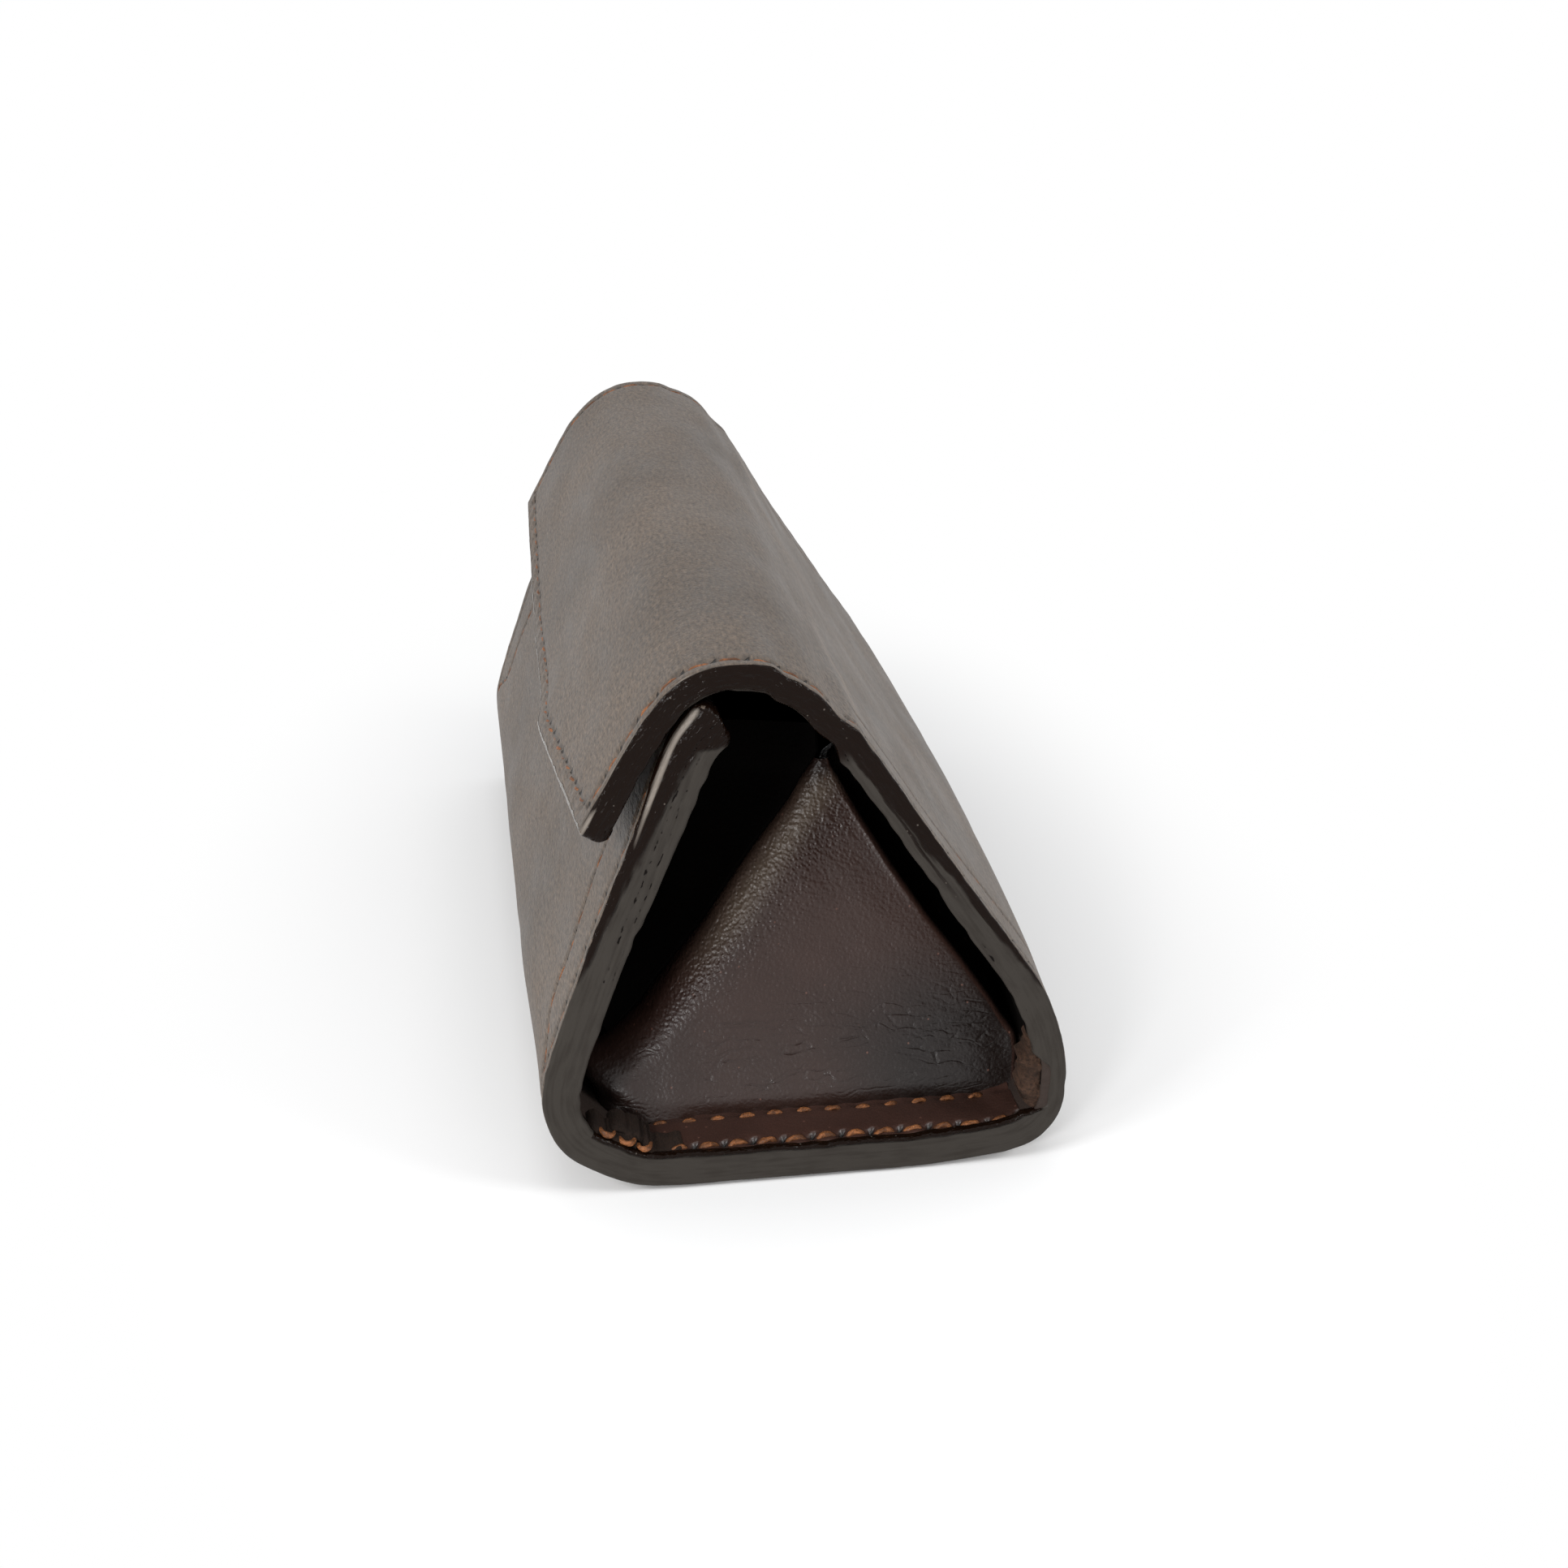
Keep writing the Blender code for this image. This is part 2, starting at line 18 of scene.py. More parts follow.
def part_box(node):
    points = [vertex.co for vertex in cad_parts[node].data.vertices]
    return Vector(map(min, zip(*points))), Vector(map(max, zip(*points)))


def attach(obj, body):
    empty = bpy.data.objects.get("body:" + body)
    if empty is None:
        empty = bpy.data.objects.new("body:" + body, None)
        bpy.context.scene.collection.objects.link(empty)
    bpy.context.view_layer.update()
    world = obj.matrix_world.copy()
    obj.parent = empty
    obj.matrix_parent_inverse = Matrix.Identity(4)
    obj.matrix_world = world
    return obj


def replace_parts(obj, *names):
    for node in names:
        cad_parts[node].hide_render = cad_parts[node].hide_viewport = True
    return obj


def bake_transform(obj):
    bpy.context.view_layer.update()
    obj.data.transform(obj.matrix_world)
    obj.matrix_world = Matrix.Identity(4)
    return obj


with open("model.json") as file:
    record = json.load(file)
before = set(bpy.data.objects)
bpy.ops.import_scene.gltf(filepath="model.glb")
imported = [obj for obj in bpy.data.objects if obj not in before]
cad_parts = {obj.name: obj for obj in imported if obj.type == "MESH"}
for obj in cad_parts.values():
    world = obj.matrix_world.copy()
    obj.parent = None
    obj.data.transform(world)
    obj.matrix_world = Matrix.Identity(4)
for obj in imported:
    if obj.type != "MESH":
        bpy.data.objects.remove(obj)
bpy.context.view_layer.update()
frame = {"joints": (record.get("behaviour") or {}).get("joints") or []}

bl_info = {
    "name": "Leather Spectacle Case",
    "version": (1, 0, 0),
    "blender": (4, 5, 0),
    "location": "3D View > Sidebar > Case",
    "description": "Builds the leather, edge paint, gussets and stitching of a spectacle case",
    "category": "Object",
}

MM = 0.001


def linear(code):
    """An sRGB hex colour as linear red, green and blue."""
    parts = [int(code[i:i + 2], 16) / 255 for i in (1, 3, 5)]
    return tuple(c / 12.92 if c <= 0.04045 else ((c + 0.055) / 1.055) ** 2.4 for c in parts)


# Sizes read from the frame
HALF = (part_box("outer_body")[1].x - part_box("outer_body")[0].x) / 2 / MM
HINGES = {joint["name"]: np.array(joint["pos_m"][1:]) / MM for joint in frame["joints"]}
FLAP_HINGE = HINGES["flap_open"]

# Section of the wrapped leather, the same as the frame's
WIDTH = 74.0
HEIGHT = 77.5
FRONT_FACING = math.pi - math.radians(20.4)
BACK_FACING = math.radians(32.9)
FLAP_FACING = math.pi - math.radians(29.5)
FRONT_CORNER_R = 15.0
BACK_CORNER_R = 9.5
HAUNCH_R = 38.0
TOP_R = 16.0
FRONT_REACH = 50.94
FLAP_END_REACH = 16.4
FLAP_DROP = 6.8
FLAP_FLAT_HALF = 22.0

# Leather thicknesses
OUTER_PLY = 1.8
WALL = 3.6
GUSSET_PLY = 1.2
TIP_ROUND = 1.0

# Rounding of the outer corner of a cut edge, and by how much more near the front wall's top and the
# flap's tip: extra radius, then the distances from that edge between which it fades
CORNER_ROUND = 0.6
FRONT_ROUND = (1.4, 6.0, 19.0)
FLAP_ROUND = (0.45, 3.0, 9.0)

# Where each row of stitches runs, from the edge it follows, and how far the flap's row reaches from
# the middle
EDGE_ROW = 2.5
SIDE_ROW = 11.8
BASE_ROW = 9.6
FLAP_ROW = 3.1
FLAP_ROW_REACH = HALF - 4.2
STITCH_PITCH = 4.2
FLAP_PITCH = 5.2

# Spacing of the section's points, how far they start above the front wall's top, and how far the
# flap's straight part is drawn
SECTION_STEP = 0.25
LEAD = 10.0
FLAP_DRAWN = 40.0


def direction(angle):
    """Unit vector in the section's plane."""
    return np.array((math.cos(angle), math.sin(angle)))


def arc_points(centre, radius, start, end):
    """Evenly spaced points on an arc, both ends included."""
    count = max(2, int(abs(end - start) * radius / SECTION_STEP))
    return [centre + radius * direction(start + (end - start) * i / count) for i in range(count + 1)]


def run_along(points):
    """Distance along a line of points, from its first."""
    return np.concatenate(([0], np.cumsum(np.linalg.norm(np.diff(points, axis=0), axis=1))))


def outward_normals(line):
    """Unit normals on the right of a line of points, which is outside the section."""
    tangent = np.gradient(line, axis=0)
    tangent /= np.linalg.norm(tangent, axis=1)[:, None]
    return np.stack([tangent[:, 1], -tangent[:, 0]], 1)


def smooth_curve(points, width, low, high):
    """A table of places and values as a softened curve: its places and values."""
    at = np.arange(low, high + SECTION_STEP, SECTION_STEP)
    raw = np.interp(at, *zip(*points))
    reach = int(3 * width / SECTION_STEP)
    kernel = np.exp(-(np.arange(-reach, reach + 1) * SECTION_STEP / width) ** 2 / 2)
    padded = np.pad(raw, reach, mode="edge")
    return at, np.convolve(padded, kernel / kernel.sum(), mode="valid")


def section_line():
    """Outer face of the leather from above the front wall's top to past the flap's edge."""
    half = WIDTH / 2
    full = 2 * math.pi
    front_corner = np.array((FRONT_CORNER_R - half, FRONT_CORNER_R))
    back_corner = np.array((half - BACK_CORNER_R, BACK_CORNER_R))
    haunch = np.array((half - HAUNCH_R, BACK_CORNER_R))
    top_z = HEIGHT - TOP_R
    back = direction(BACK_FACING)
    foot = haunch + HAUNCH_R * back
    top = np.array(((foot @ back - TOP_R - top_z * back[1]) / back[0], top_z))
    up_front = direction(FRONT_FACING - math.pi / 2)
    down_flap = direction(FLAP_FACING + math.pi / 2)
    start = front_corner + FRONT_CORNER_R * direction(FRONT_FACING)
    line = [start + reach * up_front for reach in np.arange(FRONT_REACH + LEAD, 0, -SECTION_STEP)]
    line += arc_points(front_corner, FRONT_CORNER_R, FRONT_FACING, 1.5 * math.pi)
    line += arc_points(back_corner, BACK_CORNER_R, 1.5 * math.pi, full)
    line += arc_points(haunch, HAUNCH_R, full, full + BACK_FACING)[1:]
    line += arc_points(top, TOP_R, BACK_FACING, FLAP_FACING)
    flap_start = line[-1]
    line += [flap_start + reach * down_flap
             for reach in np.arange(SECTION_STEP, FLAP_DRAWN, SECTION_STEP)]
    line = np.array(line)
    run = run_along(line) - LEAD
    even = np.arange(-LEAD, run[-1], SECTION_STEP)
    return even, np.stack([np.interp(even, run, line[:, k]) for k in (0, 1)], 1)


RUN, LINE = section_line()


def run_of(point, low, high):
    """Run down the section, between two others, at which the outer face passes nearest to a point."""
    chosen = (RUN > low) & (RUN < high)
    far = np.linalg.norm(LINE[chosen] - point, axis=1)
    return float(RUN[chosen][far.argmin()])


# Runs down the section: the flap's hinge, the base's middle, the start of the flap's straight part
# and the front wall's top edge
S_FLAP_HINGE = run_of(FLAP_HINGE, 190, 230)
S_BASE_MIDDLE = run_of(np.array((0.0, 0.0)), 80, 130)
S_FLAP = S_FLAP_HINGE + TOP_R * (FLAP_FACING - BACK_FACING)
S_TOP = -6.0

# Small departures of the real outline from the drawn section: run, then mm inward
OUTLINE_POINTS = (
    # the front wall's tucked top
    (-10, 3.4), (-7, 2.6), (-6, 2.3), (-4.8, 1.9), (-4, 1.6), (-2, 0.9), (0, 0.4), (4, 0.12),
    # the front wall
    (9, 0.07), (13, -0.1), (21, -0.2), (26, -0.4), (33, -0.45), (43, -0.4), (48, -0.25), (52, -0.05),
    # the front bottom bend and the base
    (56, 0), (65, 0.15), (68.5, 0.7), (71.5, 1.0), (74, 0.9), (77, 0.65), (79, 0.45), (82, 0.2),
    (86, 0), (118, 0), (123, 0.35), (128, 0.9), (132, 1.3), (135.4, 1.0), (138, 0.8), (140, 0.6),
    # the back bottom bend and the back wall
    (143.7, 0.25), (146, 0.05), (149, -0.4), (154, -0.42), (162, -0.5), (170, -0.45), (180, -0.3),
    (190, -0.25), (198, -0.35), (206, -0.35), (209.9, -0.1),
    # the top bend and the flap
    (214, 0.1), (225, 0.1), (229, 0), (233, -0.3), (237, -0.45), (240, -0.2), (243, 0.2),
    (247, 0.05), (252, -0.1), (262, 0), (300, 0))
OUTLINE_AT, OUTLINE = smooth_curve(OUTLINE_POINTS, 1.2, RUN[0], RUN[-1])


def shaped_section():
    """Section points and outward normals with the small departures worked in."""
    inward = np.interp(RUN, OUTLINE_AT, OUTLINE)
    line = LINE - outward_normals(LINE) * inward[:, None]
    return line, outward_normals(line)


LINE, NORMAL = shaped_section()

# How far the magnet pulls the flap in: distance from the near end, then mm
PULL_POINTS = ((0, 0), (48, 0), (55, 0.2), (62, 1.1), (73, 1.9), (94, 2.1), (105, 2.2), (120, 2.0),
               (135, 1.5), (153, 0.9), (156, 0.8))
PULL_AT, PULL = smooth_curve(PULL_POINTS, 2.0, PULL_POINTS[0][0], PULL_POINTS[-1][0])


def bell(value, middle, width):
    """A smooth hump, 1 in the middle."""
    return np.exp(-((value - middle) / width) ** 2)


def step_up(value, low, high):
    """0 below low, 1 above high, smooth between."""
    t = np.clip((value - low) / (high - low), 0, 1)
    return t * t * (3 - 2 * t)


def noise(a, b, cell, seed):
    """Smooth random heights from -1 to 1 over two coordinates."""
    table = np.random.default_rng(seed).uniform(-1, 1, (128, 128))
    a, b = np.broadcast_arrays(np.asarray(a, float) / cell, np.asarray(b, float) / cell)
    i, j = np.floor(a).astype(int), np.floor(b).astype(int)
    p, q = a - i, b - j
    p, q = p * p * (3 - 2 * p), q * q * (3 - 2 * q)
    near = table[i % 128, j % 128] * (1 - q) + table[i % 128, (j + 1) % 128] * q
    far = table[(i + 1) % 128, j % 128] * (1 - q) + table[(i + 1) % 128, (j + 1) % 128] * q
    return near * (1 - p) + far * p


def bows(x, s):
    """How far the leather stands proud of its section: pulls, bulges, dents and soft waves."""
    near, far = HALF - x, HALF + x
    across = 1 - (x / HALF) ** 2
    # the magnet's pull grows down the flap
    down = np.clip((s - S_FLAP + 6) / 28, 0, None)
    rise = -np.interp(near, PULL_AT, PULL) * down ** 1.6
    # the back wall swells low down and the front wall sinks at the top, most in mid length
    rise = rise + 1.5 * across * bell(s, 158, 13)
    rise = rise - 0.7 * across * step_up(50 - s, 0, 20)
    # the top bend is dented near each end, between two creases that fade along the case
    for gap, depth in ((near, 0.75), (far, 0.5)):
        dent = step_up(s, 209.5, 215) * (1 - step_up(s, 222.8, 225.6))
        rise = rise - depth * dent * np.exp(-(np.clip(gap, 0, None) / 13) ** 2)
        fade = np.exp(-((np.clip(gap, 0, None) - 16) / 22) ** 2)
        rise = rise + 0.30 * fade * (bell(s, 209.8, 1.6) - bell(s, 213.8, 1.9))
    # away from the near end the bends round out, and the flap dips between top and tip
    away = step_up(near, 10, 95)
    rise = rise + away * (0.5 * bell(s, 207, 9) + 0.7 * bell(s, 32, 14) - 0.35 * bell(s, 251, 10))
    rise = rise + 0.65 * bell(s, 54, 13) * step_up(near, 8, 50)
    rise = rise + step_up(near, 95, 150) * (0.9 * bell(s, 217, 8) - 0.7 * bell(s, 238, 6))
    rise = rise + 0.4 * bell(s, 172, 14) * step_up(near, 3, 20) * (1 - step_up(near, 70, 110))
    # soft waves, none where the halves meet or at the front wall's top
    calm = step_up(np.abs(s - S_BASE_MIDDLE), 1, 12) * step_up(s, 2, 14)
    return rise + (0.16 * noise(x, s, 19, 3) + 0.07 * noise(x, s, 7.5, 4)) * calm


def wall(x, s, depth):
    """Points of the wrapped leather: x along the case, s down its section, depth below its face."""
    x, s, depth = np.broadcast_arrays(x, s, depth)
    x = x.astype(float)
    rise = bows(x, s) - depth
    y, z, ny, nz = (np.interp(s, RUN, column) for column in (*LINE.T, *NORMAL.T))
    return np.stack([x, y + ny * rise, z + nz * rise], -1)


def flap_edge(x):
    """Run at which the flap ends: level in the middle, slanting up to both tips."""
    slant = (HALF - np.abs(x)) / (HALF - FLAP_FLAT_HALF)
    return S_FLAP + FLAP_END_REACH + FLAP_DROP * np.minimum(slant, 1.0)


# Materials


def add_node(tree, kind, inputs=None, out=0, **settings):
    """Add one node with its settings and links, and give one of its outputs."""
    node = tree.nodes.new(kind)
    for key, value in settings.items():
        setattr(node, key, value)
    for key, value in (inputs or {}).items():
        if isinstance(value, bpy.types.NodeSocket):
            tree.links.new(value, node.inputs[key])
        else:
            node.inputs[key].default_value = value
    return node.outputs[out] if node.outputs else None


def new_material(name):
    """An empty node material, and add_node for its tree."""
    made = bpy.data.materials.new(name)
    made.use_nodes = True
    made.node_tree.nodes.clear()
    return made, partial(add_node, made.node_tree)


def shade(colour, factor=1.0):
    """A colour made lighter or darker, as a socket takes it."""
    return (*(min(c * factor, 1.0) for c in colour[:3]), 1.0)


# How a Mix node blends two colours, and which of its outputs gives them
COLOURS = {"data_type": "RGBA", "out": 2}

# The rows of stitches that mark the outer leather: name, pitch, lean of the holes, how far a hole
# reaches beside the row, its width, and how dark its furrow is painted as shade
MARKED_ROWS = (("edge_row", STITCH_PITCH, 0.5, (-0.35, 0.6), 0.36, 0.30),
               ("side_row", STITCH_PITCH, 0.3, (-0.3, 0.4), 0.22, 0.55),
               ("flap_row", FLAP_PITCH, -0.5, (-0.2, 1.0), 0.5, 0.5))

# The one short pale scratch on the top: where it is, how it turns, and half its length and breadth
SCRATCH_PLACE = (-5.6, 215.8, 0)
SCRATCH_TURN = math.radians(72.7)
SCRATCH_ENDS = (2.4, 1.6)
SCRATCH_SIDES = (0.26, 0.08)


def seam_holes(node, name, pitch, lean, span, wide):
    """Shares of the awl slits, which narrow to a point, and of the furrow along a row of stitches."""
    low, high = span
    middle, half = (low + high) / 2, (high - low) / 2
    row = node("ShaderNodeAttribute", out="Vector", attribute_name=name)
    phase, beside, held = node("ShaderNodeSeparateXYZ", {"Vector": row}).node.outputs
    # how far the point lies from the middle of the nearest slit, as a share of the pitch
    slanted = node("ShaderNodeMath", {0: beside, 1: lean / pitch, 2: phase}, operation="MULTIPLY_ADD")
    moved = node("ShaderNodeMath", {0: slanted, 1: 0.5}, operation="ADD")
    part = node("ShaderNodeMath", {0: moved}, operation="FRACT")
    offset = node("ShaderNodeMath", {0: part, 1: 0.5}, operation="SUBTRACT")
    away = node("ShaderNodeMath", {0: offset}, operation="ABSOLUTE")
    narrowing = node("ShaderNodeMapRange", {"Value": beside, "From Min": low, "From Max": high,
                                            "To Min": wide / pitch, "To Max": 0.04 / pitch})
    within = node("ShaderNodeMath", {0: narrowing, 1: away}, operation="SUBTRACT")
    slit = node("ShaderNodeMapRange", {"Value": within, "From Min": -0.10 / pitch,
                                       "From Max": 0.08 / pitch})
    aside = node("ShaderNodeMath", {0: beside, 1: middle}, operation="SUBTRACT")
    aside = node("ShaderNodeMath", {0: aside}, operation="ABSOLUTE")
    inside = node("ShaderNodeMapRange", {"Value": aside, "From Min": half + 0.15,
                                         "From Max": half - 0.15})
    for share in (inside, held):
        slit = node("ShaderNodeMath", {0: slit, 1: share}, operation="MULTIPLY")
    near = node("ShaderNodeMath", {0: beside}, operation="ABSOLUTE")
    furrow = node("ShaderNodeMapRange", {"Value": near, "From Min": 0.55, "From Max": 0.15})
    return slit, node("ShaderNodeMath", {0: furrow, 1: held}, operation="MULTIPLY")


def outer_leather(looks):
    """Smooth vegetable-tanned cowhide."""
    # Dyed through, rolled and waxed cowhide. The eye sees an even grey-brown with soft clouds along
    # the hide, a fine sandy grain that breaks up the sheen, and a few pale flecks where wax is rubbed.
    # Real pores are 0.1 to 0.2 mm wide, too fine to show here, and are drawn at looks.grain.
    made, node = new_material("smooth waxed cowhide")
    place = node("ShaderNodeAttribute", out="Vector", attribute_name="skin")
    along = node("ShaderNodeMapping", {"Vector": place, "Scale": (0.35, 1.0, 1.0)})
    clouds = node("ShaderNodeTexNoise", {"Vector": place, "Scale": 1 / 30, "Detail": 3.0})
    streaks = node("ShaderNodeTexNoise", {"Vector": along, "Scale": 1 / 7, "Detail": 3.0})
    mottle = node("ShaderNodeTexNoise", {"Vector": along, "Scale": 1 / 0.7, "Detail": 3.0,
                                         "Roughness": 0.6})
    pores = node("ShaderNodeTexVoronoi", {"Vector": place, "Scale": MM / looks.grain,
                                          "Randomness": 1.0})
    lumps = node("ShaderNodeTexNoise", {"Vector": along, "Scale": 0.4 * MM / looks.grain,
                                        "Detail": 4.0, "Roughness": 0.65})
    tone = 0.0
    for pattern, strength in ((clouds, 0.45), (streaks, 0.30), (mottle, 0.32)):
        tone = node("ShaderNodeMath", {0: pattern, 1: strength, 2: tone}, operation="MULTIPLY_ADD")
    tone = node("ShaderNodeMapRange", {"Value": tone, "From Min": 0.42, "From Max": 0.66})
    colour = node("ShaderNodeMix", {0: tone, 6: shade(looks.outer, 0.74), 7: shade(looks.outer, 1.26)},
                  **COLOURS)
    flecks = node("ShaderNodeTexNoise", {"Vector": along, "Scale": 1 / 0.55, "Detail": 1.0})
    flecks = node("ShaderNodeMapRange", {"Value": flecks, "From Min": 0.64, "From Max": 0.76,
                                         "To Max": 0.45})
    colour = node("ShaderNodeMix", {0: flecks, 6: colour, 7: shade(looks.outer, 2.0)}, **COLOURS)
    sand = node("ShaderNodeTexNoise", {"Vector": along, "Scale": MM / looks.grain, "Detail": 2.0,
                                       "Roughness": 0.7})
    sand = node("ShaderNodeMapRange", {"Value": sand, "From Min": 0.34, "From Max": 0.66,
                                       "To Min": 0.54, "To Max": 1.52})
    colour = node("ShaderNodeVectorMath", {0: colour, 1: sand}, operation="MULTIPLY")
    # a pale line along the hinge's bend, a painted highlight broken up by the mottle
    rubbed = node("ShaderNodeAttribute", out="Fac", attribute_name="rubbed")
    rubbed = node("ShaderNodeMath", {0: rubbed, 1: mottle}, operation="MULTIPLY")
    offset = node("ShaderNodeVectorMath", {0: place, 1: SCRATCH_PLACE}, operation="SUBTRACT")
    turned = node("ShaderNodeMapping", {"Vector": offset, "Rotation": (0, 0, SCRATCH_TURN)})
    length, breadth, _ = node("ShaderNodeSeparateXYZ", {"Vector": turned}).node.outputs
    scratch = 1.0
    for distance, (outside, within), most in ((length, SCRATCH_ENDS, 1.0),
                                              (breadth, SCRATCH_SIDES, 0.8)):
        distance = node("ShaderNodeMath", {0: distance}, operation="ABSOLUTE")
        share = node("ShaderNodeMapRange", {"Value": distance, "From Min": outside,
                                            "From Max": within, "To Max": most})
        scratch = node("ShaderNodeMath", {0: share, 1: scratch}, operation="MULTIPLY")
    for share, factor in ((rubbed, 3.2), (scratch, 3.0)):
        colour = node("ShaderNodeMix", {0: share, 6: colour, 7: shade(looks.outer, factor)}, **COLOURS)
    relief = [(pores, 0.055), (lumps, 0.30), (streaks, 0.10)]
    # each row darkens its furrow and its awl slits in colour, a painted shade; the slits also sink in
    # the bump
    for *row, soiled in MARKED_ROWS:
        slit, furrow = seam_holes(node, *row)
        dark = node("ShaderNodeMath", {0: furrow, 1: soiled}, operation="MULTIPLY")
        for share, factor in ((dark, 0.25), (slit, 0.05)):
            colour = node("ShaderNodeMix", {0: share, 6: colour, 7: shade(looks.outer, factor)},
                          **COLOURS)
        relief.append((slit, -0.55))
    heights = 0.0
    for height, reach in (*relief, (scratch, 0.08)):
        heights = node("ShaderNodeMath", {0: height, 1: reach, 2: heights}, operation="MULTIPLY_ADD")
    rough = node("ShaderNodeMapRange", {"Value": streaks, "From Min": 0.3, "From Max": 0.7,
                                        "To Min": 0.46, "To Max": 0.58})
    bump = node("ShaderNodeBump", {"Height": heights, "Distance": MM})
    shader = node("ShaderNodeBsdfPrincipled", {"Base Color": colour, "Roughness": rough,
                                               "Specular IOR Level": 0.45, "Normal": bump})
    node("ShaderNodeOutputMaterial", {"Surface": shader})
    return made


def lining_leather(looks):
    """Thin cowhide lining, flesh side out."""
    # Split cowhide, dyed and left unfinished. The eye sees a matt dark brown with a short nap, whose
    # fibres are drawn at 0.6 mm because real ones are too fine to show.
    made, node = new_material("matt cowhide lining")
    place = node("ShaderNodeAttribute", out="Vector", attribute_name="skin")
    tone = node("ShaderNodeTexNoise", {"Vector": place, "Scale": 1 / 9, "Detail": 5.0})
    nap = node("ShaderNodeTexNoise", {"Vector": place, "Scale": 1 / 0.6, "Detail": 3.0})
    share = node("ShaderNodeMapRange", {"Value": tone, "From Min": 0.3, "From Max": 0.7})
    colour = node("ShaderNodeMix", {0: share, 6: shade(looks.lining, 0.75),
                                    7: shade(looks.lining, 1.25)}, **COLOURS)
    rough = node("ShaderNodeMapRange", {"Value": nap, "From Min": 0.3, "From Max": 0.7,
                                        "To Min": 0.70, "To Max": 0.86})
    heights = node("ShaderNodeMath", {0: nap, 1: 0.08}, operation="MULTIPLY")
    bump = node("ShaderNodeBump", {"Height": heights, "Distance": MM})
    shader = node("ShaderNodeBsdfPrincipled", {"Base Color": colour, "Roughness": rough,
                                               "Specular IOR Level": 0.3, "Normal": bump})
    node("ShaderNodeOutputMaterial", {"Surface": shader})
    return made


# The two sets of creases in the gusset leather, long ones and short ones: stretch and lean of their
# cells, width of a cell, width of a crease, and a shift of the pattern
CREASE_SETS = ((0.20, 0.10, 2.4, 0.11, 0.0), (0.34, -0.30, 1.2, 0.14, 40.0))


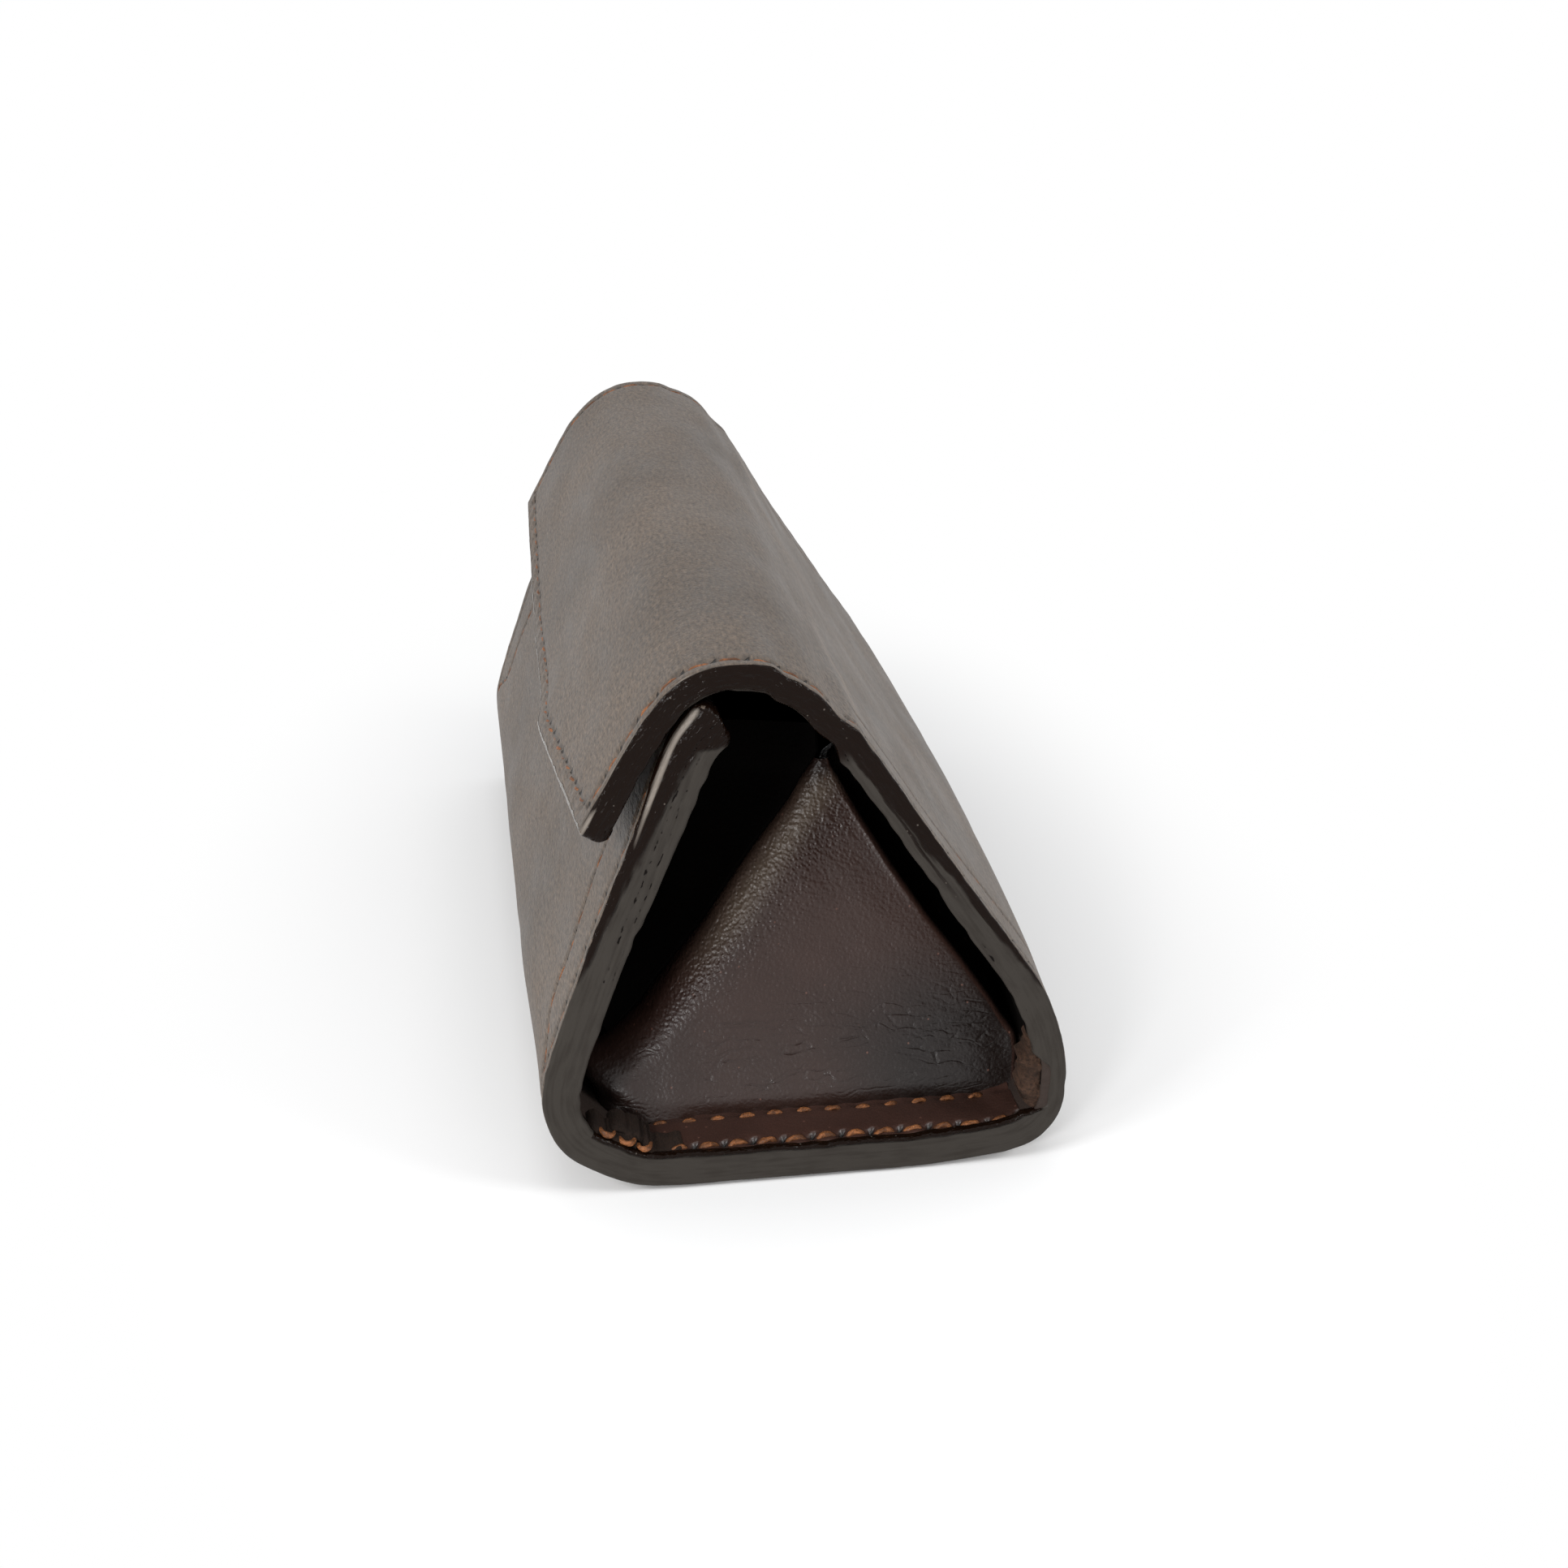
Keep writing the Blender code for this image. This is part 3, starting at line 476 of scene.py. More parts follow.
def gusset_leather(looks):
    """Soft pebbled calfskin."""
    # Milled calfskin: tumbling raises small pebbles that glint where the leather rolls away, and
    # fine creases where it is folded. A little pale lint clings to it. Painted shade darkens the
    # creases and the low, right and top parts of the face, and turns it near black in the pleats and
    # the awl's holes; a paler, greyer painted sheen runs along the rolled side. Pebbles of 0.3 mm are
    # drawn a little larger, at looks.pebble, so that they show.
    made, node = new_material("milled calfskin")
    place = node("ShaderNodeAttribute", out="Vector", attribute_name="skin")
    crease, rolled, hidden, rubbed = (node("ShaderNodeAttribute", out="Fac", attribute_name=name)
                                      for name in ("crease", "rolled", "hidden", "rubbed"))
    pebble = node("ShaderNodeTexVoronoi", {"Vector": place, "Scale": MM / looks.pebble,
                                           "Randomness": 0.9}, feature="SMOOTH_F1")
    clouds = node("ShaderNodeTexNoise", {"Vector": place, "Scale": 1 / 12, "Detail": 3.0})
    fine = node("ShaderNodeTexNoise", {"Vector": place, "Scale": 1 / 0.5, "Detail": 3.0})
    bent = node("ShaderNodeTexNoise", {"Vector": place, "Scale": 1 / 6, "Detail": 2.0}, out="Color")
    pushed = node("ShaderNodeVectorMath", {0: bent, 1: (3.2, 3.2, 0.0), 2: place},
                  operation="MULTIPLY_ADD")
    spread = 0.0
    for stretch, lean, cell, wide, shift in CREASE_SETS:
        folds = node("ShaderNodeMapping", {"Vector": pushed, "Scale": (stretch, 1.0, 1.0),
                                           "Rotation": (0, 0, lean), "Location": (shift, shift, 0)})
        cells = node("ShaderNodeTexVoronoi", {"Vector": folds, "Scale": 1 / cell, "Randomness": 1.0},
                     feature="DISTANCE_TO_EDGE")
        cells = node("ShaderNodeMapRange", {"Value": cells, "From Min": wide, "From Max": 0.0})
        held = node("ShaderNodeTexNoise", {"Vector": folds, "Scale": 1 / (cell * 1.3), "Detail": 1.0})
        held = node("ShaderNodeMapRange", {"Value": held, "From Min": 0.40, "From Max": 0.72})
        cells = node("ShaderNodeMath", {0: cells, 1: held}, operation="MULTIPLY")
        spread = node("ShaderNodeMath", {0: spread, 1: cells}, operation="MAXIMUM")
    # creases darkened in colour as a painted shade, and sunk in the bump
    cut = node("ShaderNodeMath", {0: spread, 1: crease}, operation="MULTIPLY")
    dark = node("ShaderNodeMath", {0: cut, 1: 0.27}, operation="MULTIPLY")
    lint = node("ShaderNodeTexVoronoi", {"Vector": place, "Scale": 1 / 2.6, "Randomness": 1.0})
    lint = node("ShaderNodeMapRange", {"Value": lint, "From Min": 0.075, "From Max": 0.04,
                                       "To Max": 0.5})
    share = node("ShaderNodeMapRange", {"Value": clouds, "From Min": 0.32, "From Max": 0.7})
    colour = node("ShaderNodeMix", {0: share, 6: shade(looks.gusset, 0.86),
                                    7: shade(looks.gusset, 1.12)}, **COLOURS)
    # painted shade, darker in the creases and near black where folded away and in pits; a paler, greyer
    # painted sheen along the rolled side; then pale lint
    for share, over in ((dark, shade(looks.gusset, 0.3)), (hidden, shade(looks.flesh)),
                        (rubbed, shade(looks.outer, 1.7)), (lint, shade(looks.gusset, 5.0))):
        colour = node("ShaderNodeMix", {0: share, 6: colour, 7: over}, **COLOURS)
    height = node("ShaderNodeMath", {0: rolled, 1: 0.17, 2: 0.015}, operation="MULTIPLY_ADD")
    heights = node("ShaderNodeMath", {0: pebble, 1: height}, operation="MULTIPLY")
    for height, reach in ((fine, 0.05), (cut, -0.10)):
        heights = node("ShaderNodeMath", {0: height, 1: reach, 2: heights}, operation="MULTIPLY_ADD")
    rough = node("ShaderNodeMapRange", {"Value": fine, "From Min": 0.3, "From Max": 0.7,
                                        "To Min": 0.28, "To Max": 0.42})
    bump = node("ShaderNodeBump", {"Height": heights, "Distance": MM})
    shader = node("ShaderNodeBsdfPrincipled", {"Base Color": colour, "Roughness": rough,
                                               "Specular IOR Level": 0.40, "Normal": bump})
    node("ShaderNodeOutputMaterial", {"Surface": shader})
    return made


def flesh_side(looks):
    """The flesh side of the gusset leather, inside its pleats, near black as painted shade."""
    # Split calfskin, near black and with no shine at all: painted shade for the deep pleats and the
    # flanges behind them. The eye sees a soft nap, whose fibres are drawn at 0.7 mm because real ones
    # are too fine to show.
    made, node = new_material("black dyed flesh side")
    place = node("ShaderNodeAttribute", out="Vector", attribute_name="skin")
    nap = node("ShaderNodeTexNoise", {"Vector": place, "Scale": 1 / 0.7, "Detail": 4.0})
    colour = node("ShaderNodeMix", {0: nap, 6: shade(looks.flesh, 0.7), 7: shade(looks.flesh, 1.3)},
                  **COLOURS)
    heights = node("ShaderNodeMath", {0: nap, 1: 0.15}, operation="MULTIPLY")
    bump = node("ShaderNodeBump", {"Height": heights, "Distance": MM})
    shader = node("ShaderNodeBsdfPrincipled", {"Base Color": colour, "Roughness": 0.95,
                                               "Specular IOR Level": 0.03, "Normal": bump})
    node("ShaderNodeOutputMaterial", {"Surface": shader})
    return made


def edge_paint(looks):
    """Acrylic edge paint."""
    # Brushed on in coats and burnished. The eye sees a dark brown gloss, a little lumpy, that has
    # rubbed down to a grey satin on the flats, with small black pits where the plies meet. Pale
    # streaks on the nose, along the flap's outer corner and at its tip, and small pale flecks on the
    # gloss are painted highlights.
    made, node = new_material("brushed acrylic edge paint")
    place = node("ShaderNodeAttribute", out="Vector", attribute_name="skin")
    worn, seam, rubbed = (node("ShaderNodeAttribute", out="Fac", attribute_name=name)
                          for name in ("worn", "seam", "rubbed"))
    drawn = node("ShaderNodeMapping", {"Vector": place, "Scale": (0.35, 1.0, 1.0)})
    tone = node("ShaderNodeTexNoise", {"Vector": drawn, "Scale": 1 / 1.6, "Detail": 3.0})
    lumps = node("ShaderNodeTexNoise", {"Vector": drawn, "Scale": 1 / 0.8, "Detail": 3.0})
    brushed = node("ShaderNodeMapping", {"Vector": place, "Scale": (0.06, 1.0, 1.0)})
    streaks = node("ShaderNodeTexNoise", {"Vector": brushed, "Scale": 1 / 0.5, "Detail": 2.0})
    tone = node("ShaderNodeMix", {0: 0.5, 2: tone, 3: streaks})
    pits = node("ShaderNodeTexNoise", {"Vector": drawn, "Scale": 1 / 0.45, "Detail": 2.0})
    pits = node("ShaderNodeMath", {0: seam, 1: 0.42, 2: pits}, operation="MULTIPLY_ADD")
    pits = node("ShaderNodeMapRange", {"Value": pits, "From Min": 0.78, "From Max": 0.85})
    share = node("ShaderNodeMapRange", {"Value": tone, "From Min": 0.38, "From Max": 0.62,
                                        "To Min": 0.74, "To Max": 1.12})
    level = node("ShaderNodeMath", {0: worn, 1: share}, operation="MULTIPLY")
    # pale streaks on the nose, along the flap's outer corner and at its tip: a painted highlight
    rubbed = node("ShaderNodeMath", {0: streaks, 1: 0.9, 2: rubbed}, operation="MULTIPLY_ADD")
    rubbed = node("ShaderNodeMapRange", {"Value": rubbed, "From Min": 0.85, "From Max": 1.35})
    # small pale flecks on the gloss, a painted glint
    flecks = node("ShaderNodeTexVoronoi", {"Vector": place, "Scale": 1 / 1.9, "Randomness": 1.0})
    flecks = node("ShaderNodeMapRange", {"Value": flecks, "From Min": 0.085, "From Max": 0.04,
                                         "To Max": 0.6})
    gloss = node("ShaderNodeMath", {0: 1.0, 1: worn}, operation="SUBTRACT")
    flecks = node("ShaderNodeMath", {0: flecks, 1: gloss}, operation="MULTIPLY")
    colour = shade(looks.paint)
    for share, over in ((level, shade(looks.paint_worn)), (pits, shade(looks.paint, 0.4)),
                        (rubbed, shade(looks.paint_worn, 5.0)), (flecks, shade(looks.paint_worn, 4.0))):
        colour = node("ShaderNodeMix", {0: share, 6: colour, 7: over}, **COLOURS)
    rough = node("ShaderNodeMath", {0: worn, 1: 0.26, 2: 0.16}, operation="MULTIPLY_ADD")
    depth = node("ShaderNodeMath", {0: worn, 1: -0.42, 2: 0.50}, operation="MULTIPLY_ADD")
    heights = node("ShaderNodeMath", {0: lumps, 1: depth}, operation="MULTIPLY")
    heights = node("ShaderNodeMath", {0: pits, 1: -0.10, 2: heights}, operation="MULTIPLY_ADD")
    bump = node("ShaderNodeBump", {"Height": heights, "Distance": MM})
    shader = node("ShaderNodeBsdfPrincipled", {"Base Color": colour, "Roughness": rough,
                                               "Specular IOR Level": 0.09, "Normal": bump})
    node("ShaderNodeOutputMaterial", {"Surface": shader})
    return made


def raw_leather(looks):
    """Cut, unpainted leather."""
    # Trimmed with a knife and left raw. The eye sees a fuzzy fibrous brown, warmer than the grain
    # side. Its fibres are drawn in tufts of 0.55 mm, because single ones are too fine to show.
    made, node = new_material("raw cut leather")
    place = node("ShaderNodeAttribute", out="Vector", attribute_name="skin")
    fibres = node("ShaderNodeTexNoise", {"Vector": place, "Scale": 1 / 0.55, "Detail": 5.0,
                                         "Roughness": 0.65})
    patches = node("ShaderNodeTexNoise", {"Vector": place, "Scale": 1 / 2.4, "Detail": 3.0})
    share = node("ShaderNodeMapRange", {"Value": fibres, "From Min": 0.34, "From Max": 0.66})
    colour = node("ShaderNodeMix", {0: share, 6: shade(looks.raw, 0.4), 7: shade(looks.raw, 1.25)},
                  **COLOURS)
    stain = node("ShaderNodeMapRange", {"Value": patches, "From Min": 0.48, "From Max": 0.72})
    soiled = node("ShaderNodeAttribute", out="Fac", attribute_name="soiled")
    for share, factor in ((stain, 0.3), (soiled, 0.18)):
        colour = node("ShaderNodeMix", {0: share, 6: colour, 7: shade(looks.raw, factor)}, **COLOURS)
    heights = node("ShaderNodeMath", {0: fibres, 1: 0.45}, operation="MULTIPLY")
    bump = node("ShaderNodeBump", {"Height": heights, "Distance": MM})
    shader = node("ShaderNodeBsdfPrincipled", {"Base Color": colour, "Roughness": 0.85,
                                               "Specular IOR Level": 0.25, "Normal": bump})
    node("ShaderNodeOutputMaterial", {"Surface": shader})
    return made


def waxed_thread(looks):
    """Waxed linen thread."""
    # Twisted from two strands and pulled through wax. The eye sees slanting ribs with a dull sheen,
    # rust brown where the light falls and dirty in the grooves. Linen fibres are far too fine to
    # show, so the hairs are drawn at 0.22 mm.
    made, node = new_material("waxed linen thread")
    place = node("ShaderNodeAttribute", out="Vector", attribute_name="skin")
    hairs = node("ShaderNodeTexNoise", {"Vector": place, "Scale": 1 / 0.22, "Detail": 3.0})
    dirt = node("ShaderNodeTexNoise", {"Vector": place, "Scale": 1 / 1.4, "Detail": 3.0})
    share = node("ShaderNodeMapRange", {"Value": hairs, "From Min": 0.3, "From Max": 0.7})
    colour = node("ShaderNodeMix", {0: share, 6: shade(looks.thread, 0.35),
                                    7: shade(looks.thread, 1.45)}, **COLOURS)
    stain = node("ShaderNodeMapRange", {"Value": dirt, "From Min": 0.42, "From Max": 0.62,
                                        "To Max": 0.85})
    colour = node("ShaderNodeMix", {0: stain, 6: colour, 7: shade(looks.thread, 0.22)}, **COLOURS)
    rough = node("ShaderNodeMapRange", {"Value": hairs, "From Min": 0.3, "From Max": 0.7,
                                        "To Min": 0.45, "To Max": 0.70})
    heights = node("ShaderNodeMath", {0: hairs, 1: 0.12}, operation="MULTIPLY")
    bump = node("ShaderNodeBump", {"Height": heights, "Distance": MM})
    shader = node("ShaderNodeBsdfPrincipled", {"Base Color": colour, "Roughness": rough,
                                               "Specular IOR Level": 0.3, "Normal": bump})
    node("ShaderNodeOutputMaterial", {"Surface": shader})
    return made


def nickel_plate(_):
    """Nickel plating on a steel disc."""
    # Left as it came from the bath. The eye sees a bright metal with a faint cloud.
    made, node = new_material("nickel plated steel")
    place = node("ShaderNodeTexCoord", out="Object")
    clouds = node("ShaderNodeTexNoise", {"Vector": place, "Scale": 1 / (2.5 * MM)})
    colour = node("ShaderNodeMix", {0: clouds, 6: shade(linear("#b9b6ae")),
                                    7: shade(linear("#cfccc4"))}, **COLOURS)
    rough = node("ShaderNodeMapRange", {"Value": clouds, "From Min": 0.3, "From Max": 0.7,
                                        "To Min": 0.22, "To Max": 0.34})
    shader = node("ShaderNodeBsdfPrincipled", {"Base Color": colour, "Roughness": rough,
                                               "Metallic": 1.0})
    node("ShaderNodeOutputMaterial", {"Surface": shader})
    return made


# Mesh building


def make_piece(name, parts, material, sharp=55):
    """One named mesh from closed parts: each has points in mm, faces, and fields of values at them."""
    points, faces, fields, first = [], [], {}, 0
    for grid, part_faces, part_fields in parts:
        points.append(grid.reshape(-1, 3))
        faces += [[first + i for i in face] for face in part_faces]
        for key, values in part_fields.items():
            fields.setdefault(key, []).append(values.reshape(len(points[-1]), -1))
        first += len(points[-1])
    mesh = bpy.data.meshes.new(name)
    mesh.from_pydata((np.concatenate(points) * MM).tolist(), [], faces)
    work_mesh = bmesh.new()
    work_mesh.from_mesh(mesh)
    bmesh.ops.recalc_face_normals(work_mesh, faces=work_mesh.faces)
    work_mesh.to_mesh(mesh)
    work_mesh.free()
    for key, values in fields.items():
        values = np.concatenate(values).astype(np.float32)
        kind, entry = ("FLOAT_VECTOR", "vector") if values.shape[1] == 3 else ("FLOAT", "value")
        mesh.attributes.new(key, kind, "POINT").data.foreach_set(entry, values.ravel())
    mesh.shade_smooth()
    mesh.set_sharp_from_angle(angle=math.radians(sharp))
    mesh.materials.append(material)
    made = bpy.data.objects.new(name, mesh)
    bpy.context.scene.collection.objects.link(made)
    return made


def ring_faces(rows, count, caps=True):
    """Quads that join closed rings of points, with a face over each end."""
    index = np.arange(rows * count).reshape(rows, count)
    after = np.roll(index, -1, axis=1)
    quads = np.stack([index[:-1], after[:-1], after[1:], index[1:]], -1).reshape(-1, 4).tolist()
    if caps:
        quads += [index[0][::-1].tolist(), index[-1].tolist()]
    return quads


def slab_faces(rows, count):
    """Closed skin of a thick sheet whose rings run across the front and back again behind."""
    faces = ring_faces(rows, 2 * count, caps=False)
    for base in (0, (rows - 1) * 2 * count):
        last = base + 2 * count - 1
        faces += [[base + i, base + i + 1, last - i - 1, last - i] for i in range(count - 1)]
    return faces


def slab(front, back, skin, **fields):
    """Points, faces and fields of a thick sheet between two grids of points."""
    # the back takes its pattern from a slice deeper than the front
    behind = skin + np.array((0, 0, 1.3))
    both = {"skin": np.concatenate([skin, behind[:, ::-1]], 1)}
    for key, values in fields.items():
        both[key] = np.concatenate([values, values[:, ::-1]], 1)
    return np.concatenate([front, back[:, ::-1]], 1), slab_faces(*front.shape[:2]), both


def pattern_place(a, b, slice_at):
    """Where a sheet's points lie in its material's pattern: two lengths, on a slice of its own."""
    return np.stack([a, b, np.full(a.shape, float(slice_at))], -1)


def grid_normals(grid):
    """Unit normals of a grid of points."""
    out = np.cross(np.gradient(grid, axis=1), np.gradient(grid, axis=0))
    return out / np.maximum(np.linalg.norm(out, axis=2), 1e-9)[..., None]


# The row up the front wall wanders: its run down the section, and how far it lies from the cut end
FRONT_SIDE_RUNS = (6, 14, 23.8, 28.1, 33.1, 36.7, 38.9, 41.8, 44.5, 47.2, 48.8, 50.6, 52.4)
FRONT_SIDE_GAPS = (14.8, 14.8, 14.6, 14.0, 12.9, 12.0, 11.5, 11.7, 11.6, 10.6, 8.0, 4.6, 3.0)

# Spacing of a row's points, and over how many of them a wandering row is smoothed
ROW_STEP = 0.2
ROW_SMOOTH = 13


class Row:
    """A row of stitches that runs down the section at a changing distance from a cut end."""

    def __init__(self, runs, gaps):
        self.s = np.arange(runs[0], runs[-1] + 0.01, ROW_STEP)
        self.gap = np.interp(self.s, runs, gaps)
        if len(runs) > 2:
            padded = np.pad(self.gap, ROW_SMOOTH // 2, mode="edge")
            self.gap = np.convolve(padded, np.ones(ROW_SMOOTH) / ROW_SMOOTH, mode="valid")
        self.run = run_along(np.stack([self.s, self.gap], 1))
        self.tilt = np.cos(np.arctan(np.gradient(self.gap, self.s)))
        self.count = int(self.run[-1] // STITCH_PITCH)
        self.pitch = self.run[-1] / self.count

    def field(self, gap, s):
        """Phase along the row, distance beside it and strength, for points of the leather."""
        beside = (gap - np.interp(s, self.s, self.gap)) * np.interp(s, self.s, self.tilt)
        phase = np.interp(s, self.s, self.run) / self.pitch
        held = step_up(s, self.s[0] - 0.3, self.s[0]) * (1 - step_up(s, self.s[-1], self.s[-1] + 0.3))
        return phase, np.clip(beside, -3, 3), held

    def place(self, side, along, beside, height):
        """Points near the row, on the leather's outer face, at one end of the case."""
        s = np.interp(along, self.run, self.s)
        gap = np.interp(along, self.run, self.gap)
        turn = np.arctan(np.gradient(gap, along))
        gap = gap + beside * np.cos(turn)
        s = s - beside * np.sin(turn)
        return wall(side * (HALF - gap), s, -height)


# Where each row starts and ends down the section, and how far it lies from the cut end
FRONT_EDGE = Row((3.5, S_BASE_MIDDLE - 0.6), (EDGE_ROW, EDGE_ROW))
BACK_EDGE = Row((S_BASE_MIDDLE + 0.6, S_FLAP_HINGE - 1.6), (EDGE_ROW, EDGE_ROW))
FLAP_END = Row((S_FLAP_HINGE + 1.6, S_FLAP + FLAP_END_REACH - 3.4), (EDGE_ROW, EDGE_ROW))
FRONT_SIDE = Row(FRONT_SIDE_RUNS, FRONT_SIDE_GAPS)
BASE_SIDE = Row((82, 132), (BASE_ROW, BASE_ROW))
BACK_SIDE = Row((160, S_FLAP_HINGE - 4.0), (SIDE_ROW, SIDE_ROW))
EDGE_ROWS = (FRONT_EDGE, BACK_EDGE, FLAP_END)
SIDE_ROWS = (FRONT_SIDE, BASE_SIDE, BACK_SIDE)


def row_field(rows, x, s):
    """The combined field of rows that follow one another down each end."""
    gap = HALF - np.abs(x)
    total = np.zeros((*x.shape, 3))
    for row in rows:
        phase, beside, held = row.field(gap, s)
        inside = (held > 0)[..., None]
        total = np.where(inside, np.stack([phase, beside, held], -1), total)
    return total


def flap_row_field(x, s):
    """Phase, distance beside and strength of the row along the flap's lower edge."""
    slope = np.where(np.abs(x) > FLAP_FLAT_HALF, FLAP_DROP / (HALF - FLAP_FLAT_HALF), 0.0)
    beside = (flap_edge(x) - s) * np.cos(np.arctan(slope)) - FLAP_ROW
    held = 1 - step_up(np.abs(x), HALF - 4.6, FLAP_ROW_REACH)
    return np.stack([x / FLAP_PITCH + 40, np.clip(beside, -3.5, 3.5), held], -1)


def stitch_pull(x, s):
    """How the stitches draw the leather in: a furrow along each row, and puckers at each hole."""
    drop = np.zeros(np.broadcast(x, s).shape)
    for field, depth, pucker in ((row_field(EDGE_ROWS, x, s), 0.26, 0.10),
                                 (row_field(SIDE_ROWS, x, s), 0.30, 0.03),
                                 (flap_row_field(x, s), 0.26, 0.22)):
        phase, beside, held = np.moveaxis(field, -1, 0)
        hole = 0.5 + 0.5 * np.cos(2 * math.pi * (phase + 0.12 * beside))
        drop += held * (depth * bell(beside, 0, 0.55) + pucker * hole * bell(beside, -0.4, 1.6))
    return drop


def surface(x, s, depth):
    """Points of the outer leather with the pull of its stitches."""
    x, s, depth = np.broadcast_arrays(x, s, depth)
    return wall(x, s, depth + stitch_pull(x, s))


# The outer leather and its lining


def corner_radius(edge_gap, shape):
    """Rounding of the outer corner: wider near the edge that shape describes."""
    extra, low, high = shape
    return CORNER_ROUND + extra * (1 - step_up(edge_gap, low, high))


def rounded_drop(gap, radius):
    """How far the face falls away near a rounded cut edge."""
    inside = np.clip(radius - gap, 0, radius)
    return radius - np.sqrt(np.maximum(radius ** 2 - inside ** 2, 0))


def columns(coarse, fine):
    """Places across the case, close together near both cut ends."""
    near = [0, 0.1, 0.25, 0.45, 0.7, 1.0, 1.4, 1.8, 2.2, 2.6, 3.0, 3.5]
    near += list(np.arange(4.0, 18.0, fine))
    middle = np.linspace(near[-1] + fine, HALF, int((HALF - near[-1] - fine) / coarse) + 1)[:-1]
    gaps = np.concatenate([near, middle])
    return np.concatenate([gaps - HALF, [0.0], HALF - gaps[::-1]])


def corner_limit(edge_gap):
    """Half length of the leather near an end edge, where its corners are rounded."""
    inside = np.clip(TIP_ROUND - edge_gap, 0, TIP_ROUND)
    return HALF - TIP_ROUND + np.sqrt(TIP_ROUND ** 2 - inside ** 2)


def front_grid(cols, step):
    """Places and edge gaps of the leather from the front wall's top to the base's middle."""
    start = S_TOP + np.array([0, 0.08, 0.2, 0.4, 0.65, 0.95, 1.3, 1.7, 2.2])
    rows = np.concatenate([start, np.arange(start[-1] + step, S_BASE_MIDDLE - step / 2, step),
                           [S_BASE_MIDDLE]])
    s, x = np.meshgrid(rows, cols, indexing="ij")
    x = x * corner_limit(s - S_TOP) / HALF
    return x, s, s - S_TOP


def back_grid(cols, step):
    """Places and edge gaps of the leather from the base's middle to the flap's edge."""
    turn = S_FLAP + 1
    rows = np.concatenate([np.arange(S_BASE_MIDDLE, turn - step / 2, step), [turn]])
    share = np.linspace(0, 1, int(20 / step))[1:]
    reach = FLAP_END_REACH + FLAP_DROP
    last = 1 - np.array([2.0, 1.5, 1.0, 0.7, 0.45, 0.25, 0.1, 0.0]) / reach
    share = np.concatenate([share[share < last[0] - 0.01], last])
    x = np.broadcast_to(cols, (len(rows) + len(share), len(cols))).astype(float)
    low = turn + (flap_edge(cols) - turn) * share[:, None]
    s = np.concatenate([np.broadcast_to(rows[:, None], (len(rows), len(cols))), low])
    x = x * corner_limit(flap_edge(x) - s) / HALF
    low_edge = flap_edge(x)
    s = np.where(s > turn, turn + (s - turn) * (low_edge - turn) / (flap_edge(cols) - turn), s)
    return x, s, low_edge - s


def outer_piece(name, grid, shape):
    """The outer ply of one half of the wrap."""
    x, s, edge_gap = grid
    near = HALF - np.abs(x)
    drop = rounded_drop(np.minimum(near, edge_gap), corner_radius(edge_gap, shape))
    face = surface(x, s, drop + 0.03)
    behind = surface(x, s, np.full_like(x, OUTER_PLY))
    # a painted highlight: a pale line along the bend at the hinge
    bent = np.interp(near, (8, 20, 29, 37, 58, 85), (206.4, 206.8, 206.3, 208.3, 206.7, 204.5))
    rubbed = bell(s, bent + 0.3 * noise(x, x * 0, 4, 7), 0.9) * (0.25 + 0.75 * bell(near, 26, 22))
    rubbed = rubbed * step_up(near, 4, 10) * 0.6
    ply = slab(face, behind, pattern_place(x, s, 0), edge_row=row_field(EDGE_ROWS, x, s),
               side_row=row_field(SIDE_ROWS, x, s), flap_row=flap_row_field(x, s), rubbed=rubbed)
    return make_piece(name, [ply], material_for(outer_leather))


def lining_piece(name, grid):
    """The inner ply of one half of the wrap."""
    x, s, edge_gap = grid
    gap = np.minimum(HALF - np.abs(x), edge_gap)
    x = x * (HALF - 0.15) / HALF
    soft = (0.10 * noise(x, s, 5, 21) + 0.05 * noise(x, s, 1.8, 22)) * step_up(edge_gap, 0, 4)
    inner = WALL + soft - rounded_drop(gap, inner_radius(edge_gap))
    ply = slab(wall(x, s, OUTER_PLY + 0.02), wall(x, s, inner), pattern_place(x, s, 9))
    return make_piece(name, [ply], material_for(lining_leather))


def inner_radius(edge_gap):
    """Rounding of the inner corner of a cut edge, wider at a free edge."""
    return 0.35 + 1.15 * (1 - step_up(edge_gap, 1.4, 3.6))


# Edge paint round the cut edges

# Thickness of the painted edge: run, then mm. It is the two plies, more at the front wall's tucked
# top, and the gusset's flange as well where that is sewn in
THICK_POINTS = (
    (-6, 4.4), (-5.2, 5.6), (-4.4, 6.9), (-3.6, 7.2), (-2.6, 6.9), (0, 6.6), (3, 6.7), (8, 6.6),
    (20, 6.0), (27, 5.7), (36, 5.4), (60, 5.2), (90, 5.1), (130, 5.1), (137, 5.1), (139.5, 4.0),
    (142, 2.5), (149.5, 2.5), (152.5, 4.5), (165, 4.4), (185, 4.0), (S_FLAP_HINGE - 7.5, 4.2),
    (S_FLAP_HINGE - 5.6, 4.6), (S_FLAP_HINGE - 4.4, 4.2), (S_FLAP_HINGE - 3, 3.6), (S_FLAP_HINGE, 3.6),
    (240, 3.8), (252, 3.7), (260, 3.8), (262, 4.2), (300, 4.2))

PAINT_STEP = 0.4
PAINT_SKIN = 0.06


def plain_thickness(s):
    """Thickness of the painted edge down an end of the case, before its waves."""
    return np.interp(s, *zip(*THICK_POINTS))


def edge_thickness(x, s, edge_gap):
    """Thickness of the painted edge, down to the two plies along the free edges."""
    waves = 0.12 * noise(s, x * 0, 6, 31) + 0.13 * noise(s, x * 0, 1.9, 30)
    ends = plain_thickness(s) + waves
    free = WALL + (ends - WALL) * step_up(np.abs(x), HALF - 5, HALF - 1.2)
    return np.where(edge_gap > 1.5, ends, free)


